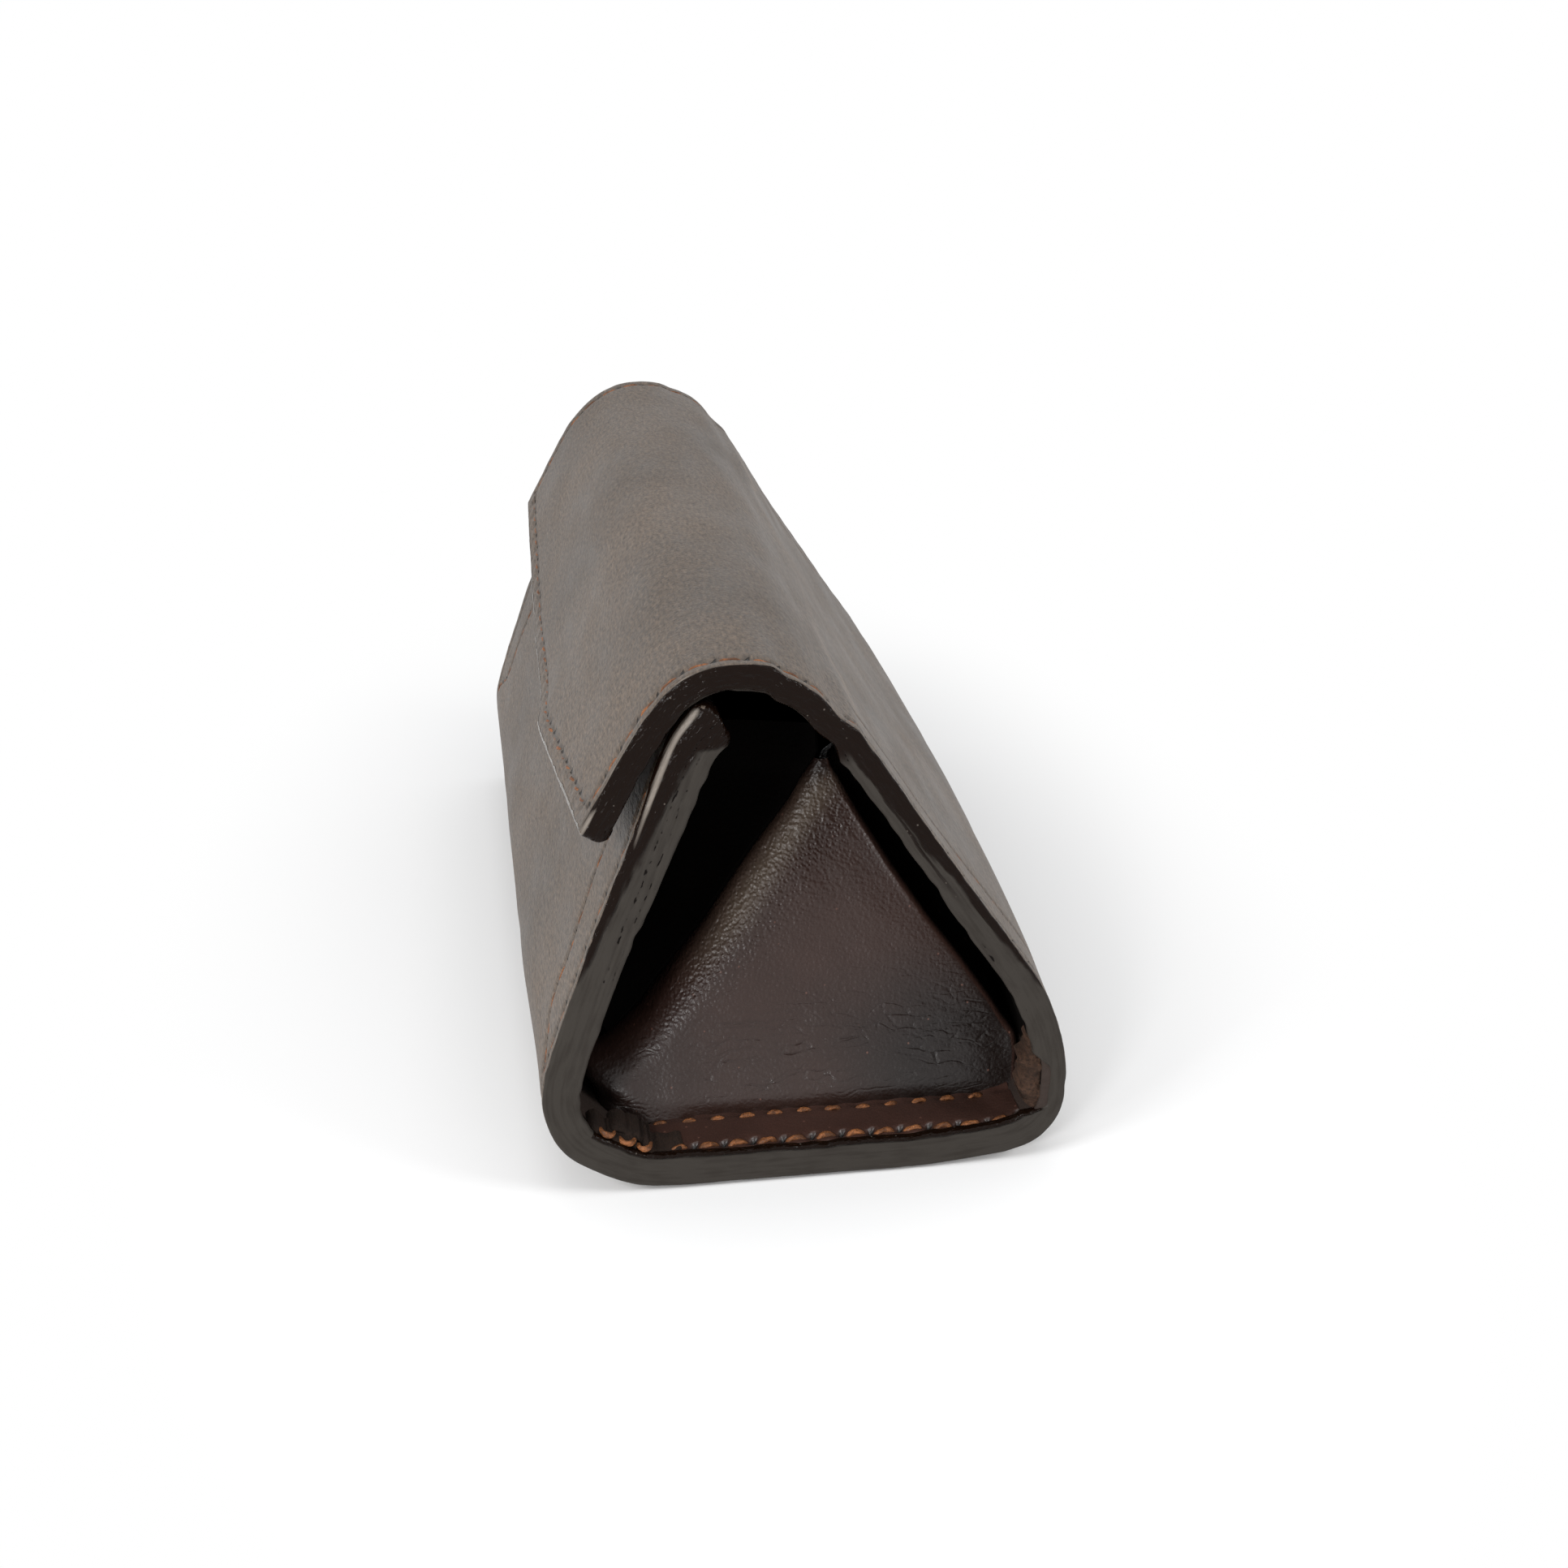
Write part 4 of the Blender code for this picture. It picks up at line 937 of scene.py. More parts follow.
def rounded_path(corners, radius, step):
    """Even points along straight runs whose sharp corners are rounded."""
    corners = [np.array(corner, float) for corner in corners]
    path = [corners[0]]
    for a, b, c in zip(corners, corners[1:], corners[2:]):
        first = (b - a) / np.linalg.norm(b - a)
        second = (c - b) / np.linalg.norm(c - b)
        turn = math.atan2(first[0] * second[1] - first[1] * second[0], first @ second)
        begin = b - first * (radius * math.tan(abs(turn) / 2))
        inner = np.array((-first[1], first[0])) * math.copysign(radius, turn)
        count = max(2, int(abs(turn) * radius / 0.1))
        for part in (turn * i / count for i in range(count + 1)):
            spin = np.array(((math.cos(part), -math.sin(part)), (math.sin(part), math.cos(part))))
            path.append(begin + inner - spin @ inner)
    path = np.array(path + [corners[-1]])
    run = run_along(path)
    even = np.linspace(0, run[-1], int(run[-1] / step) + 1)
    return np.stack([np.interp(even, run, path[:, k]) for k in (0, 1)], 1)


def paint_profile(thick, outer, inner, start, wave):
    """Closed outline of the paint for each place on the edge: how far out and how deep."""
    # from inside the outer leather's face, round its corner
    cells = [(-outer + (outer - 0.05) * np.sin(start), outer - (outer - 0.05) * np.cos(start))]
    for share in np.linspace(0, 1, 9):
        turn = start + (math.pi / 2 - start) * share
        reach = outer + PAINT_SKIN * min(1.0, 0.3 + 3 * share)
        cells.append((-outer + reach * np.sin(turn), outer - reach * np.cos(turn)))
    # straight over the plies, and round the inner corner
    for share in np.linspace(0, 1, 26)[1:]:
        cells.append((PAINT_SKIN, outer + (thick - outer - inner) * share))
    reach = inner + PAINT_SKIN
    for turn in np.radians((18, 36, 54, 72, 90)):
        cells.append((-inner + reach * math.cos(turn), thick - inner + reach * math.sin(turn)))
    # a wavy brushed end on the lining, and back through the leather
    cells += [(-inner - 0.4 - wave, thick + PAINT_SKIN), (-inner - 0.7 - wave, thick - 0.04)]
    cells += [(-1.2, thick * 0.8), (-1.2, np.minimum(outer + 0.6, thick * 0.45))]
    out = np.stack([np.broadcast_to(u, thick.shape) for u, _ in cells], 1)
    return out, np.stack([np.broadcast_to(d, thick.shape) for _, d in cells], 1)


def worn_share(s, d, place):
    """Where the gloss has worn down to grey: the walls' inner half, and all of it low down."""
    waver = 0.18 * noise(place, 0 * place, 2.6, 38) + 0.08 * noise(place, 0 * place, 0.8, 39)
    waver = waver + 0.32 * noise(place * 0.12, d, 0.35, 44)
    # depth to which the front wall and the back wall stay brown, by run
    front_brown = np.interp(s, (-6, 0, 8, 16, 24, 34, 44), (9.0, 4.2, 3.1, 2.3, 1.6, 0.7, -1.0))
    front = step_up(d + waver, front_brown - 0.35, front_brown + 0.35)
    back_brown = np.interp(s, (158, 163, 172, 180, 188, 198, 206),
                           (-1.0, 0.3, 1.1, 1.5, 1.75, 2.1, 3.0))
    back = step_up(d + waver, back_brown - 0.2, back_brown + 0.2)
    # brown along the groove between the plies, and all of it below the hinge
    groove = 1 - step_up(np.abs(d + 0.6 * waver - 2.45), 0.12, 0.34)
    back = back * (1 - 0.9 * groove * step_up(s, 176, 190))
    back = back * (1 - step_up(s, S_FLAP_HINGE - 7, S_FLAP_HINGE - 4.5))
    # a grey ledge at the lining under the top bend
    ledge = 0.75 * step_up(d, 3.35, 3.55) * step_up(s, S_FLAP_HINGE, S_FLAP_HINGE + 4)
    ledge = ledge * (1 - step_up(s, 238, 244)) * (0.6 + 0.4 * noise(place, 0 * place, 3.0, 40))
    return np.where(s < S_BASE_MIDDLE, front, np.maximum(back, ledge))


def paint_piece(name, corners, outward_turn, edge_gap_of, shape):
    """Edge paint along a run of cut edges: crowned, lumpy, with pits where the plies meet."""
    path = rounded_path(corners, TIP_ROUND, PAINT_STEP)
    out = outward_turn * outward_normals(path)
    x, s = path.T
    edge_gap = edge_gap_of(x, s)
    thick = edge_thickness(x, s, edge_gap)
    place = s + x
    wave = 0.10 + 0.20 * noise(place, x * 0, 2.6, 33)
    outer = corner_radius(edge_gap, shape)
    covered = step_up(outer, CORNER_ROUND + 0.1, CORNER_ROUND + 0.7)
    start = np.radians(38 - 38 * covered + 12 * noise(place, x * 0, 1.6, 32))
    u, d = paint_profile(thick, outer, inner_radius(edge_gap), np.maximum(start, 0), wave)
    share = np.clip(d / thick[:, None], 0, 1)
    shown = step_up(u, -0.5, 0.0)
    place = place[:, None]
    run = np.broadcast_to(s[:, None], u.shape)
    # the crown, a lip at the lining round the bottom, and lumps where the gloss is left
    crown = 0.08 * (1 - (2 * share - 1) ** 2)
    lip = step_up(share, 0.87, 0.93) * ((run > 66) & (run < 141))
    glossy = np.maximum(1 - worn_share(s[:, None], d, place), lip)
    lumps = 0.05 * noise(place, d, 2.1, 34) + 0.035 * noise(place, d, 0.8, 35)
    lumps = lumps * (0.35 + 0.65 * glossy)
    # the seams between the plies, faint low down, and a ridge on the upper back wall
    sewn = step_up(thick, 4.0, 4.5)[:, None]
    waver = 0.14 * noise(place, 0 * place, 3.0, 37)
    low = step_up(run, 30, 44) * (1 - step_up(run, 150, 170))
    pits = 0.5 + 0.5 * noise(place, d * 0, 0.8, 36)
    first_seam = bell(d, WALL + waver, 0.20)
    second_seam = 0.9 * bell(d, WALL + 1.15 + waver, 0.16) * (run < 60)
    seam = sewn * (first_seam + second_seam) * (1 - 0.8 * low)
    ridge = 0.16 * bell(d, 2.05 + waver, 0.22) * ((run > 165) & (run < S_FLAP_HINGE - 6))
    u = u + shown * (crown + lumps + ridge + 0.10 * lip - 0.22 * seam * pits)
    points = wall(x[:, None] + out[:, :1] * u, s[:, None] + out[:, 1:] * u, d)
    # painted highlights: pale on the front wall's nose, along the flap's outer corner and at its tip
    nose = bell(d, 0.75, 0.55) * step_up(run, -6.5, -4) * (1 - step_up(run, 2, 26))
    line = 0.75 * (1 - step_up(d, 0.10, 0.34)) * step_up(run, 226, 236)
    tip = 0.8 * bell(d, 0.5, 0.5) * step_up(run, 257, 261)
    rubbed = np.maximum(np.maximum(nose, line), tip) * step_up(u, -1.6, -0.9)
    fields = {"skin": np.stack([np.broadcast_to(place, u.shape), d, u], -1), "worn": 1 - glossy,
              "seam": seam * (0.45 + 0.55 * pits), "rubbed": rubbed}
    return make_piece(name, [(points, ring_faces(*u.shape), fields)], material_for(edge_paint), 70)

# Gussets: floor flange, leaning face with a rolled left side, pleat and wall flanges

# Top of the floor flange, how far from the cut end it turns up into the face, and the face's lean
FLOOR_TOP = WALL + 0.3 + GUSSET_PLY
CREASE = 10.8
FACE_LEAN = math.radians(24.4)

# Left and right side of the face by height, and where its mesh starts and ends
LEFT_Z = (6.0, 8.1, 10.0, 12.5, 18.0, 24.1, 29.1, 35.1, 40.7, 44.7, 51.6)
LEFT_Y = (-29.0, -30.8, -31.0, -27.6, -21.6, -15.9, -11.2, -6.5, -1.6, 2.0, 6.6)
RIGHT_Z = (5.0, 9.5, 11.6, 16.7, 22.9, 28.6, 35.4, 42.7, 49.9, 51.6)
RIGHT_Y = (32.4, 33.0, 32.9, 30.0, 25.7, 21.3, 16.7, 12.2, 8.1, 7.8)
FACE_FOOT = 4.6
FACE_TOP = 50.6

# How far behind the face a pleat's valley lies, and the furthest from the cut end that it may
PLEAT_DEPTH = 17.0
DEEPEST = 40.0

# The rolled side of the face: how far its tight roll turns from the flat, and the radius of the slow
# curve that follows
ROLL_BEND = math.radians(32)
SLOW_ROLL = 11.0

# Columns of the face's mesh: round the roll, over the flat, round the fold and back along the pleat.
# What the eye sees of them starts inside the roll and ends with the flat
ROLL_COLUMNS = 16
FLAT_COLUMNS = 76
FOLD_COLUMNS = 8
PLEAT_COLUMNS = 8
SHOWN_FROM = 6
SHOWN_TO = ROLL_COLUMNS + FLAT_COLUMNS

# The floor flange: its ends, where its right end starts to lift and by how much, its row of stitches
# by the cut end, where that row starts and ends, and the width of its mesh's columns
FLOOR_LEFT = -21.6
FLOOR_RIGHT = 31.0
LIFT_FROM = 26.5
FLANGE_RISE = 1.1
FLOOR_ROW = 2.2
FLOOR_ROW_START = -20.4
FLOOR_ROW_END = 30.4
FLOOR_STEP = 0.25

# Slices of the leather's pattern that the sheets take, the far end's mirrored
FACE_SLICE, FLOOR_SLICE, FLANGE_SLICE, LEAF_SLICE, TAG_SLICE = 40, 70, 90, 110, 130


def face_sides(z):
    """Left and right side of the leaning face at a height."""
    return float(np.interp(z, LEFT_Z, LEFT_Y)), float(np.interp(z, RIGHT_Z, RIGHT_Y))


def roll_radius(z, wide):
    """Radius of the face's rolled left side: slack low down, tight near the top."""
    return min(float(np.interp(z, (8, 20, 28, 36, 50), (4.2, 4.0, 2.8, 1.8, 1.6))), 0.3 * wide)


def slow_radius(wide):
    """Radius of the slow curve from the roll to the flat of the face."""
    return min(SLOW_ROLL, 0.6 * wide)


def face_inset(z):
    """How far the leaning face lies inside the cut end at a height."""
    return CREASE + (z - FLOOR_TOP) * math.tan(FACE_LEAN)


def floor_lift(y):
    """How far the floor flange's right end is drawn up."""
    return FLANGE_RISE * step_up(y, LIFT_FROM, 32)


def back_valley(s):
    """How far inside the cut end the pleat meets the back wall, by run."""
    z = np.interp(s, RUN, LINE[:, 1])
    return np.minimum(face_inset(np.minimum(z, 51.5)) + PLEAT_DEPTH, DEEPEST)


def front_valley(s):
    """How far inside the cut end the front pleat meets the front wall, by run."""
    z = np.interp(s, RUN, LINE[:, 1])
    return np.minimum(face_inset(np.clip(z, 16, 52)) + 3.0 + 0.65 * np.clip(z - 12, 0, 22), DEEPEST)


def face_relief(y, z):
    """How far the face's leather swells towards the eye: slack low down, and small pulls."""
    low = bell(z, 9.5, 5.5) * step_up(y, -27, -16) * (1 - step_up(y, 24, 33))
    soft = 0.16 * noise(y, z, 9.5, 41) + 0.05 * noise(y + 0.6 * z, z * 1.5, 3.4, 42)
    folds = 0.07 * noise(y * 0.42 + 0.15 * z, z, 1.5, 43) * bell(z, 11, 6.5)
    folds *= step_up(y, -20, -8) * (1 - step_up(y, 22, 30))
    return 0.6 * low + soft + folds - 0.5 * bell(z, 30, 14) * bell(y, 6, 14)


def face_row(z):
    """One level of the gusset from its rolled side to the pleat's end: y, and mm inside the cut end."""
    left, right = face_sides(z)
    wide = right - left
    inset = face_inset(z)
    # a tight roll, then a slow curve over to the flat of the face
    roll, slow = roll_radius(z, wide), slow_radius(wide)
    joint = left + roll * (1 - math.sin(ROLL_BEND))
    sunk = inset + slow * (1 - math.cos(ROLL_BEND))
    turn = np.radians(np.linspace(118, 35, ROLL_COLUMNS))
    y = list(joint - roll * (np.sin(turn) - math.sin(ROLL_BEND)))
    u = list(sunk + roll * (math.cos(ROLL_BEND) - np.cos(turn)))
    fold = min(1.1, 0.2 * wide)
    flat = np.linspace(joint, right - fold, FLAT_COLUMNS)
    bent = (joint + slow * math.sin(ROLL_BEND) - flat) / slow
    turn = np.arcsin(np.clip(bent, 0, math.sin(ROLL_BEND)))
    y += list(flat)
    u += list(inset + slow * (1 - np.cos(turn)))
    # a sharp fold, and the pleat behind the face to the back wall
    turn = np.radians(np.linspace(15, 150, FOLD_COLUMNS))
    y += list(right - fold + fold * np.sin(turn))
    u += list(inset + fold - fold * np.cos(turn))
    s = run_of(np.array((right + 3.0, z)), 135, S_FLAP_HINGE)
    valley = wall(0.0, s, WALL + 0.9).reshape(3)
    share = np.linspace(0, 1, PLEAT_COLUMNS + 1)[1:]
    pleat_y = y[-1] + (valley[1] - y[-1]) * share ** 1.6
    pleat_u = u[-1] + (min(inset + PLEAT_DEPTH, DEEPEST) - u[-1]) * share
    return y + list(pleat_y), u + list(pleat_u)


def tucked_share(y, z, edge):
    """Painted shade on the gusset leather, 0 to 1: darker low, right and at the top, black in the
    folds.
    """
    tucked = 0.46 * (1 - step_up(z, 10, 26)) + 0.5 * step_up(y, 0, 24) * (1 - step_up(z, 16, 44))
    tucked = tucked + 0.35 * (1 - step_up(y - edge, 2, 8)) * (1 - step_up(z, 9, 18))
    tucked = np.clip(tucked + 0.6 * step_up(z, 44.5, 49.5), 0, 0.85)
    # the pleat past the flat, and the roll's inside
    fading = (0.2, 0.4, 0.6, 0.8, 0.9)
    tucked[:, SHOWN_TO:] = 1
    tucked[:, SHOWN_TO:SHOWN_TO + len(fading)] = fading
    tucked[:, :4] = (1, 1, 0.8, 0.4)
    return tucked


def face_part(side):
    """The leaning face: rolled left side, flat middle, sharp right fold and the pleat behind it."""
    levels = np.concatenate([np.arange(FACE_FOOT, 20, 0.45), np.arange(20, FACE_TOP, 0.8), [FACE_TOP]])
    y, u = np.moveaxis(np.array([face_row(z) for z in levels]), 1, 0)
    z = np.broadcast_to(levels[:, None], y.shape).copy()
    shown = np.zeros(y.shape)
    shown[:, SHOWN_FROM:SHOWN_TO] = np.sin(np.linspace(0, math.pi, SHOWN_TO - SHOWN_FROM)) ** 0.35
    u = u - face_relief(y, z) * shown
    # the foot curls in over the stitches
    foot = np.clip((7.4 - z) / 2.8, 0, 1) * step_up(y, -22, -14)
    u = u + (0.8 * foot ** 2 - 0.5 * (1 - step_up(z, 6, 13)) - 0.2 * bell(z, 7.6, 1.6)) * shown
    # the lower left corner lifts off the floor, cut in a curve, and the right one a little
    lift = np.clip((-19.5 - y) / 9.5, 0, 1.2) ** 1.6 * 2.2
    z = z + lift * (1 - step_up(z, 8, 22))
    z = z + 0.8 * step_up(y, 30.5, 32.5) * (1 - step_up(z, 8, 20))
    face = np.stack([side * (HALF - u), y, z], -1)
    out = grid_normals(face)
    if (out[:, 40, 0] * side).mean() < 0:
        out = -out
    run = np.cumsum(np.hypot(np.gradient(y, axis=1), np.gradient(u, axis=1)), axis=1)
    skin = pattern_place(run + y[:, :1], z / math.cos(FACE_LEAN), FACE_SLICE * side)
    # creased low down, pebbled where the leather rolls away, and a paler painted sheen along the roll
    edge = np.interp(z, LEFT_Z, LEFT_Y)
    crease = bell(z, 12, 8) * step_up(y, -22, -8) * (1 - 0.7 * step_up(y, 26, 31))
    crease = np.maximum(crease, 0.55 * bell(y, edge + 5, 5) * bell(z, 12, 9))
    rolled = bell(y, edge + 3.5, 8.0) * step_up(z, 13, 26) + 0.20
    polished = 0.8 * bell(y, edge + 3.0, 2.6) * step_up(z, 20, 32) * (1 - step_up(z, 46, 50))
    return slab(face, face - out * (GUSSET_PLY - 0.1), skin, crease=crease,
                rolled=np.clip(rolled, 0, 1), hidden=tucked_share(y, z, edge), rubbed=polished)


def floor_part(side):
    """The flange sewn to the floor, drawn up a little at its right end."""
    gaps = np.concatenate([[0.35, 0.6, 0.9], np.arange(1.2, 4.2, 0.2), np.arange(4.2, 11.4, 0.4),
                           [11.6]])
    y, u = np.meshgrid(np.arange(FLOOR_LEFT, FLOOR_RIGHT + 0.01, FLOOR_STEP), gaps, indexing="xy")
    ragged = 0.7 * noise(u, u * 0, 1.7, 51) + 0.4 * noise(u, u * 0, 0.6, 52)
    y = np.where(y < -20, y + ragged * (-20 - y) / 1.6, y)
    top = FLOOR_TOP + 0.12 * noise(y, u, 4, 53) + 0.03 * noise(y, u, 1.1, 54)
    top = top + floor_lift(y) - 0.35 * (1 - step_up(u, 0.35, 1.3))
    # slanting awl slits beside the edge row, sunk and painted near black as shade
    past_hole = y - FLOOR_ROW_START - 0.55 * (u - FLOOR_ROW) + STITCH_PITCH / 2
    past_hole = past_hole % STITCH_PITCH - STITCH_PITCH / 2
    pit = step_up(0.55 - np.abs(past_hole), 0, 0.35) * step_up(u, 1.4, 1.8) * (1 - step_up(u, 3.0, 3.5))
    top = top - 0.6 * pit
    # a furrow along each row, with swells beside it between the holes
    for gap, depth in ((FLOOR_ROW + 0.1, 0.32), (BASE_ROW + 0.3, 0.25)):
        along = y - FLOOR_ROW_START + 0.35 * (u - gap)
        hole = 0.5 + 0.5 * np.cos(2 * math.pi * along / STITCH_PITCH)
        top = top - depth * (0.55 + 0.7 * hole) * bell(u, gap, 0.75)
        top = top + 0.14 * (1 - hole) * bell(u, gap, 1.9)
    x = side * (HALF - u)
    low = FLOOR_TOP - GUSSET_PLY + 0.8 * floor_lift(y)
    none = np.zeros(y.shape)
    return slab(np.stack([x, y, top], -1), np.stack([x, y, np.minimum(top - 0.5, low)], -1),
                pattern_place(y, u, FLOOR_SLICE * side), crease=none + 0.12, rolled=none,
                hidden=pit, rubbed=none)


def flange_part(side, runs, gap_of, seed):
    """A gusset flange that lies on the inside of a wall, out to the cut end."""
    shares = np.concatenate([[0, 0.01, 0.025, 0.05], np.linspace(0.08, 1, 34)])
    s, share = np.meshgrid(np.arange(*runs, 0.6), shares, indexing="ij")
    u = 0.4 + (gap_of(s) - 0.4) * share
    rise = 0.10 * noise(s, u, 4.5, seed) + 0.05 * noise(s, u, 1.4, seed + 1)
    thick = plain_thickness(s) * (1 - share) + (WALL + 0.1 + GUSSET_PLY) * share
    near = wall(side * (HALF - u), s, np.maximum(thick - 0.12, WALL + 0.05) + rise)
    under = wall(side * (HALF - u), s, np.full_like(u, WALL - 0.1))
    return slab(near, under, pattern_place(s, u, FLANGE_SLICE * side))


def leaf_part(side):
    """The front pleat: from inside the face's rolled edge across to the front wall."""
    share = np.linspace(0, 1, 22)[:, None]
    front = RUN < 52
    heights, runs = LINE[front][::-1, 1], RUN[front][::-1]
    rows = []
    for z in np.linspace(13.5, 55.0, 60):
        left, right = face_sides(z)
        roll = roll_radius(z, right - left)
        start = np.array((left + roll * 0.14,
                          face_inset(z) + roll * 1.2 + 0.15 * slow_radius(right - left), z))
        s_wall = float(np.interp(z * 0.94 + 4.5, heights, runs))
        foot = wall(0.0, s_wall, WALL + 0.8).reshape(3)
        end = np.array((foot[1], float(front_valley(s_wall)), foot[2]))
        y, u, level = (start + (end - start) * share).T
        u = u + 2.2 * np.sin(share[:, 0] * math.pi) ** 0.8
        rows.append(np.stack([side * (HALF - u), y, level], -1))
    grid = np.array(rows)
    grid[..., 0] -= side * 0.3 * noise(grid[..., 1], grid[..., 2], 6, 71)
    behind = grid - grid_normals(grid) * (GUSSET_PLY - 0.2)
    return slab(grid, behind, pattern_place(grid[..., 1], grid[..., 2], LEAF_SLICE * side))


# Raw cut leather where the gusset's corners are trimmed: run and depth that a tag spans, how far it
# lies inside the cut end, the seed of its lumps, and how much darker it is drawn
TAGS = (((65.0, 84.0), (WALL + 0.8, 6.0), 0.9, 81, 0.8),
        ((70.0, 79.0), (WALL + 1.6, 6.8), 2.4, 86, 0.85),
        ((139.6, 151.2), (2.2, 6.6), 0.35, 91, 0.0),
        ((142.8, 154.8), (2.6, 5.8), 0.9, 96, 0.0))
TAG_REACH = 4.0


def tag_part(side, runs, depths, inset, seed, soiled):
    """A trimmed end of the gusset in a bottom corner: ragged, lumpy and unpainted, facing out."""
    s, share = np.meshgrid(np.linspace(*runs, 44), np.linspace(0, 1, 24), indexing="ij")
    part = (s - runs[0]) / (runs[1] - runs[0])
    body = np.sin(part * math.pi) ** 0.5
    torn = 0.45 * noise(s, s * 0, 1.9, seed) + 0.25 * noise(s, s * 0, 0.7, seed + 1)
    low = depths[0] + 0.3 * torn
    high = low + np.maximum((depths[1] - depths[0]) * (0.35 + 0.65 * body) + torn, 0.3)
    depth = low + (high - low) * share
    dome = (np.sin(share * math.pi) * body) ** 0.45
    lump = 0.40 * noise(s, depth, 1.8, seed + 2) + 0.25 * noise(s, depth, 0.8, seed + 3)
    lump = lump + 0.10 * noise(s, depth, 0.4, seed + 4)
    u = inset + 1.3 * (1 - dome) - lump * dome
    near = wall(side * (HALF - u), s, depth)
    under = wall(side * (HALF - u - TAG_REACH), s, depth)
    return slab(near, under, np.stack([s, depth, u + TAG_SLICE * side], -1),
                soiled=np.full(s.shape, soiled))


# Stitches

# How deep a stitch's ends sink below the leather's face, how fast its strands twist, and the holes up
# the front bottom corner by run
THREAD_SINK = 0.95
THREAD_TWIST = 1.55
CORNER_HOLES = np.array((66.8, 70.9, 75.0, 79.1))


def stitch_tubes(place, holes, radius, slant, rise, seed, reach=0.80):
    """Twisted thread from hole to hole: place gives points from along, beside and height."""
    parts = []
    rng = np.random.default_rng(seed)
    share = np.linspace(0, 1, 15)
    around = np.linspace(0, 2 * math.pi, 13)[:-1]
    arch = 1 - np.abs(2 * share - 1) ** 3.2
    for start, end in zip(holes[:-1], holes[1:]):
        long = (end - start) * (reach + rng.uniform(-0.05, 0.05))
        middle = (start + end) / 2 + rng.uniform(-0.12, 0.12)
        lean = slant * rng.uniform(0.6, 1.3)
        up = rise + rng.uniform(-0.06, 0.10)
        along = middle + (share - 0.5) * long
        beside = lean * (2 * share - 1) + rng.uniform(-0.08, 0.08)
        height = -THREAD_SINK + (up + THREAD_SINK) * arch
        centre = place(along, beside, height)
        side_way = place(along, beside + 0.2, height) - centre
        side_way /= np.linalg.norm(side_way, axis=1)[:, None]
        tangent = np.gradient(centre, axis=0)
        tangent /= np.linalg.norm(tangent, axis=1)[:, None]
        upward = np.cross(side_way, tangent)
        # two strands twisted together, thinner where they enter the holes
        twist = rng.uniform(0, 6) + share * long * THREAD_TWIST
        lobes = 0.74 + 0.30 * np.abs(np.cos(around[None, :] - twist[:, None])) ** 1.5
        size = radius * lobes * (0.72 + 0.28 * arch[:, None])
        ring = (centre[:, None] + side_way[:, None] * (size * np.cos(around))[..., None] * 1.08
                + upward[:, None] * (size * np.sin(around))[..., None] * 0.9)
        skin = np.stack([np.broadcast_to(along[:, None], size.shape), radius * around + 0 * size,
                         np.full(size.shape, rng.uniform(0, 60))], -1)
        parts.append((ring, ring_faces(*size.shape), {"skin": skin}))
    return parts


def row_stitches(row, side, radius, seed, slant, rise):
    """The stitches of a row on the outer face."""
    holes = np.arange(row.count + 1) * row.pitch
    return stitch_tubes(partial(row.place, side), holes, radius, slant, rise, seed)


def floor_stitches(side, gap_of, start, radius, seed, slant, rise, reach):
    """Stitches on the floor flange, at a distance from the cut end that gap_of gives."""
    count = int((FLOOR_ROW_END - start) / STITCH_PITCH)

    def place(along, beside, height):
        u = gap_of(along) + beside
        level = FLOOR_TOP - 0.28 + floor_lift(along)
        return np.stack([side * (HALF - u), along, level + height], -1)
    return stitch_tubes(place, start + np.arange(count + 1) * STITCH_PITCH, radius, slant, rise, seed,
                        reach)


def edge_row_gap(y):
    """Where the floor flange's row by the cut end runs."""
    return FLOOR_ROW + 0 * y


def crease_row_gap(y):
    """Where the floor flange's wavering row by the crease runs."""
    return BASE_ROW - 0.15 + 0.4 * noise(y, y * 0, 9, 14)


def corner_stitches(side, radius):
    """Stitches that carry on from the floor flange's edge row up the front bottom corner."""
    def place(along, beside, height):
        return wall(side * (HALF - 0.8 + height), along, 5.8 + beside)
    return stitch_tubes(place, CORNER_HOLES, radius, 0.25, 0.30, 12, 0.72)


def flap_edge_stitches(radius):
    """Stitches along the flap's lower edge."""
    def place(along, beside, height):
        return surface(along, flap_edge(along) - FLAP_ROW + 0.35 - beside, -height)
    reach = math.floor(FLAP_ROW_REACH / FLAP_PITCH) * FLAP_PITCH
    holes = np.arange(-reach, reach + 0.1, FLAP_PITCH)
    return stitch_tubes(place, holes, radius, 0.35, -0.14, 21, 0.95)


# Operators

ENDS = ((1, "right"), (-1, "left"))


def chosen_looks():
    """The colours and sizes that a user would change."""
    return bpy.context.scene.case_looks


@cache
def material_for(make):
    """The material that a function makes, made once."""
    return make(chosen_looks())


def ride_case(piece):
    """The piece stays with the base."""
    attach(piece, "case")


def bend_front(piece):
    """Bakes the piece's placement into its mesh."""
    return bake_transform(piece)


def bend_flap(piece):
    """Bakes the piece's placement into its mesh."""
    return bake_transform(piece)


# Rows of stitches on the outer face: name, row, share of the thread's width, seed, slant, how far the
# thread rises over the leather, and what it moves with
FACE_ROWS = (("thread_back_edge_", BACK_EDGE, 0.6, 16, 0.2, -0.42, ride_case),
             ("thread_back_inner_", BACK_SIDE, 0.6, 17, 0.2, -0.40, ride_case),
             ("thread_front_", FRONT_SIDE, 0.42, 18, 0.06, -0.28, bend_front),
             ("thread_front_edge_", FRONT_EDGE, 0.6, 19, 0.2, -0.44, bend_front),
             ("thread_flap_end_", FLAP_END, 0.7, 20, 0.25, -0.34, bend_flap))

# The one row that the frame has no node for
NEW_ROW = "thread_front_edge_"


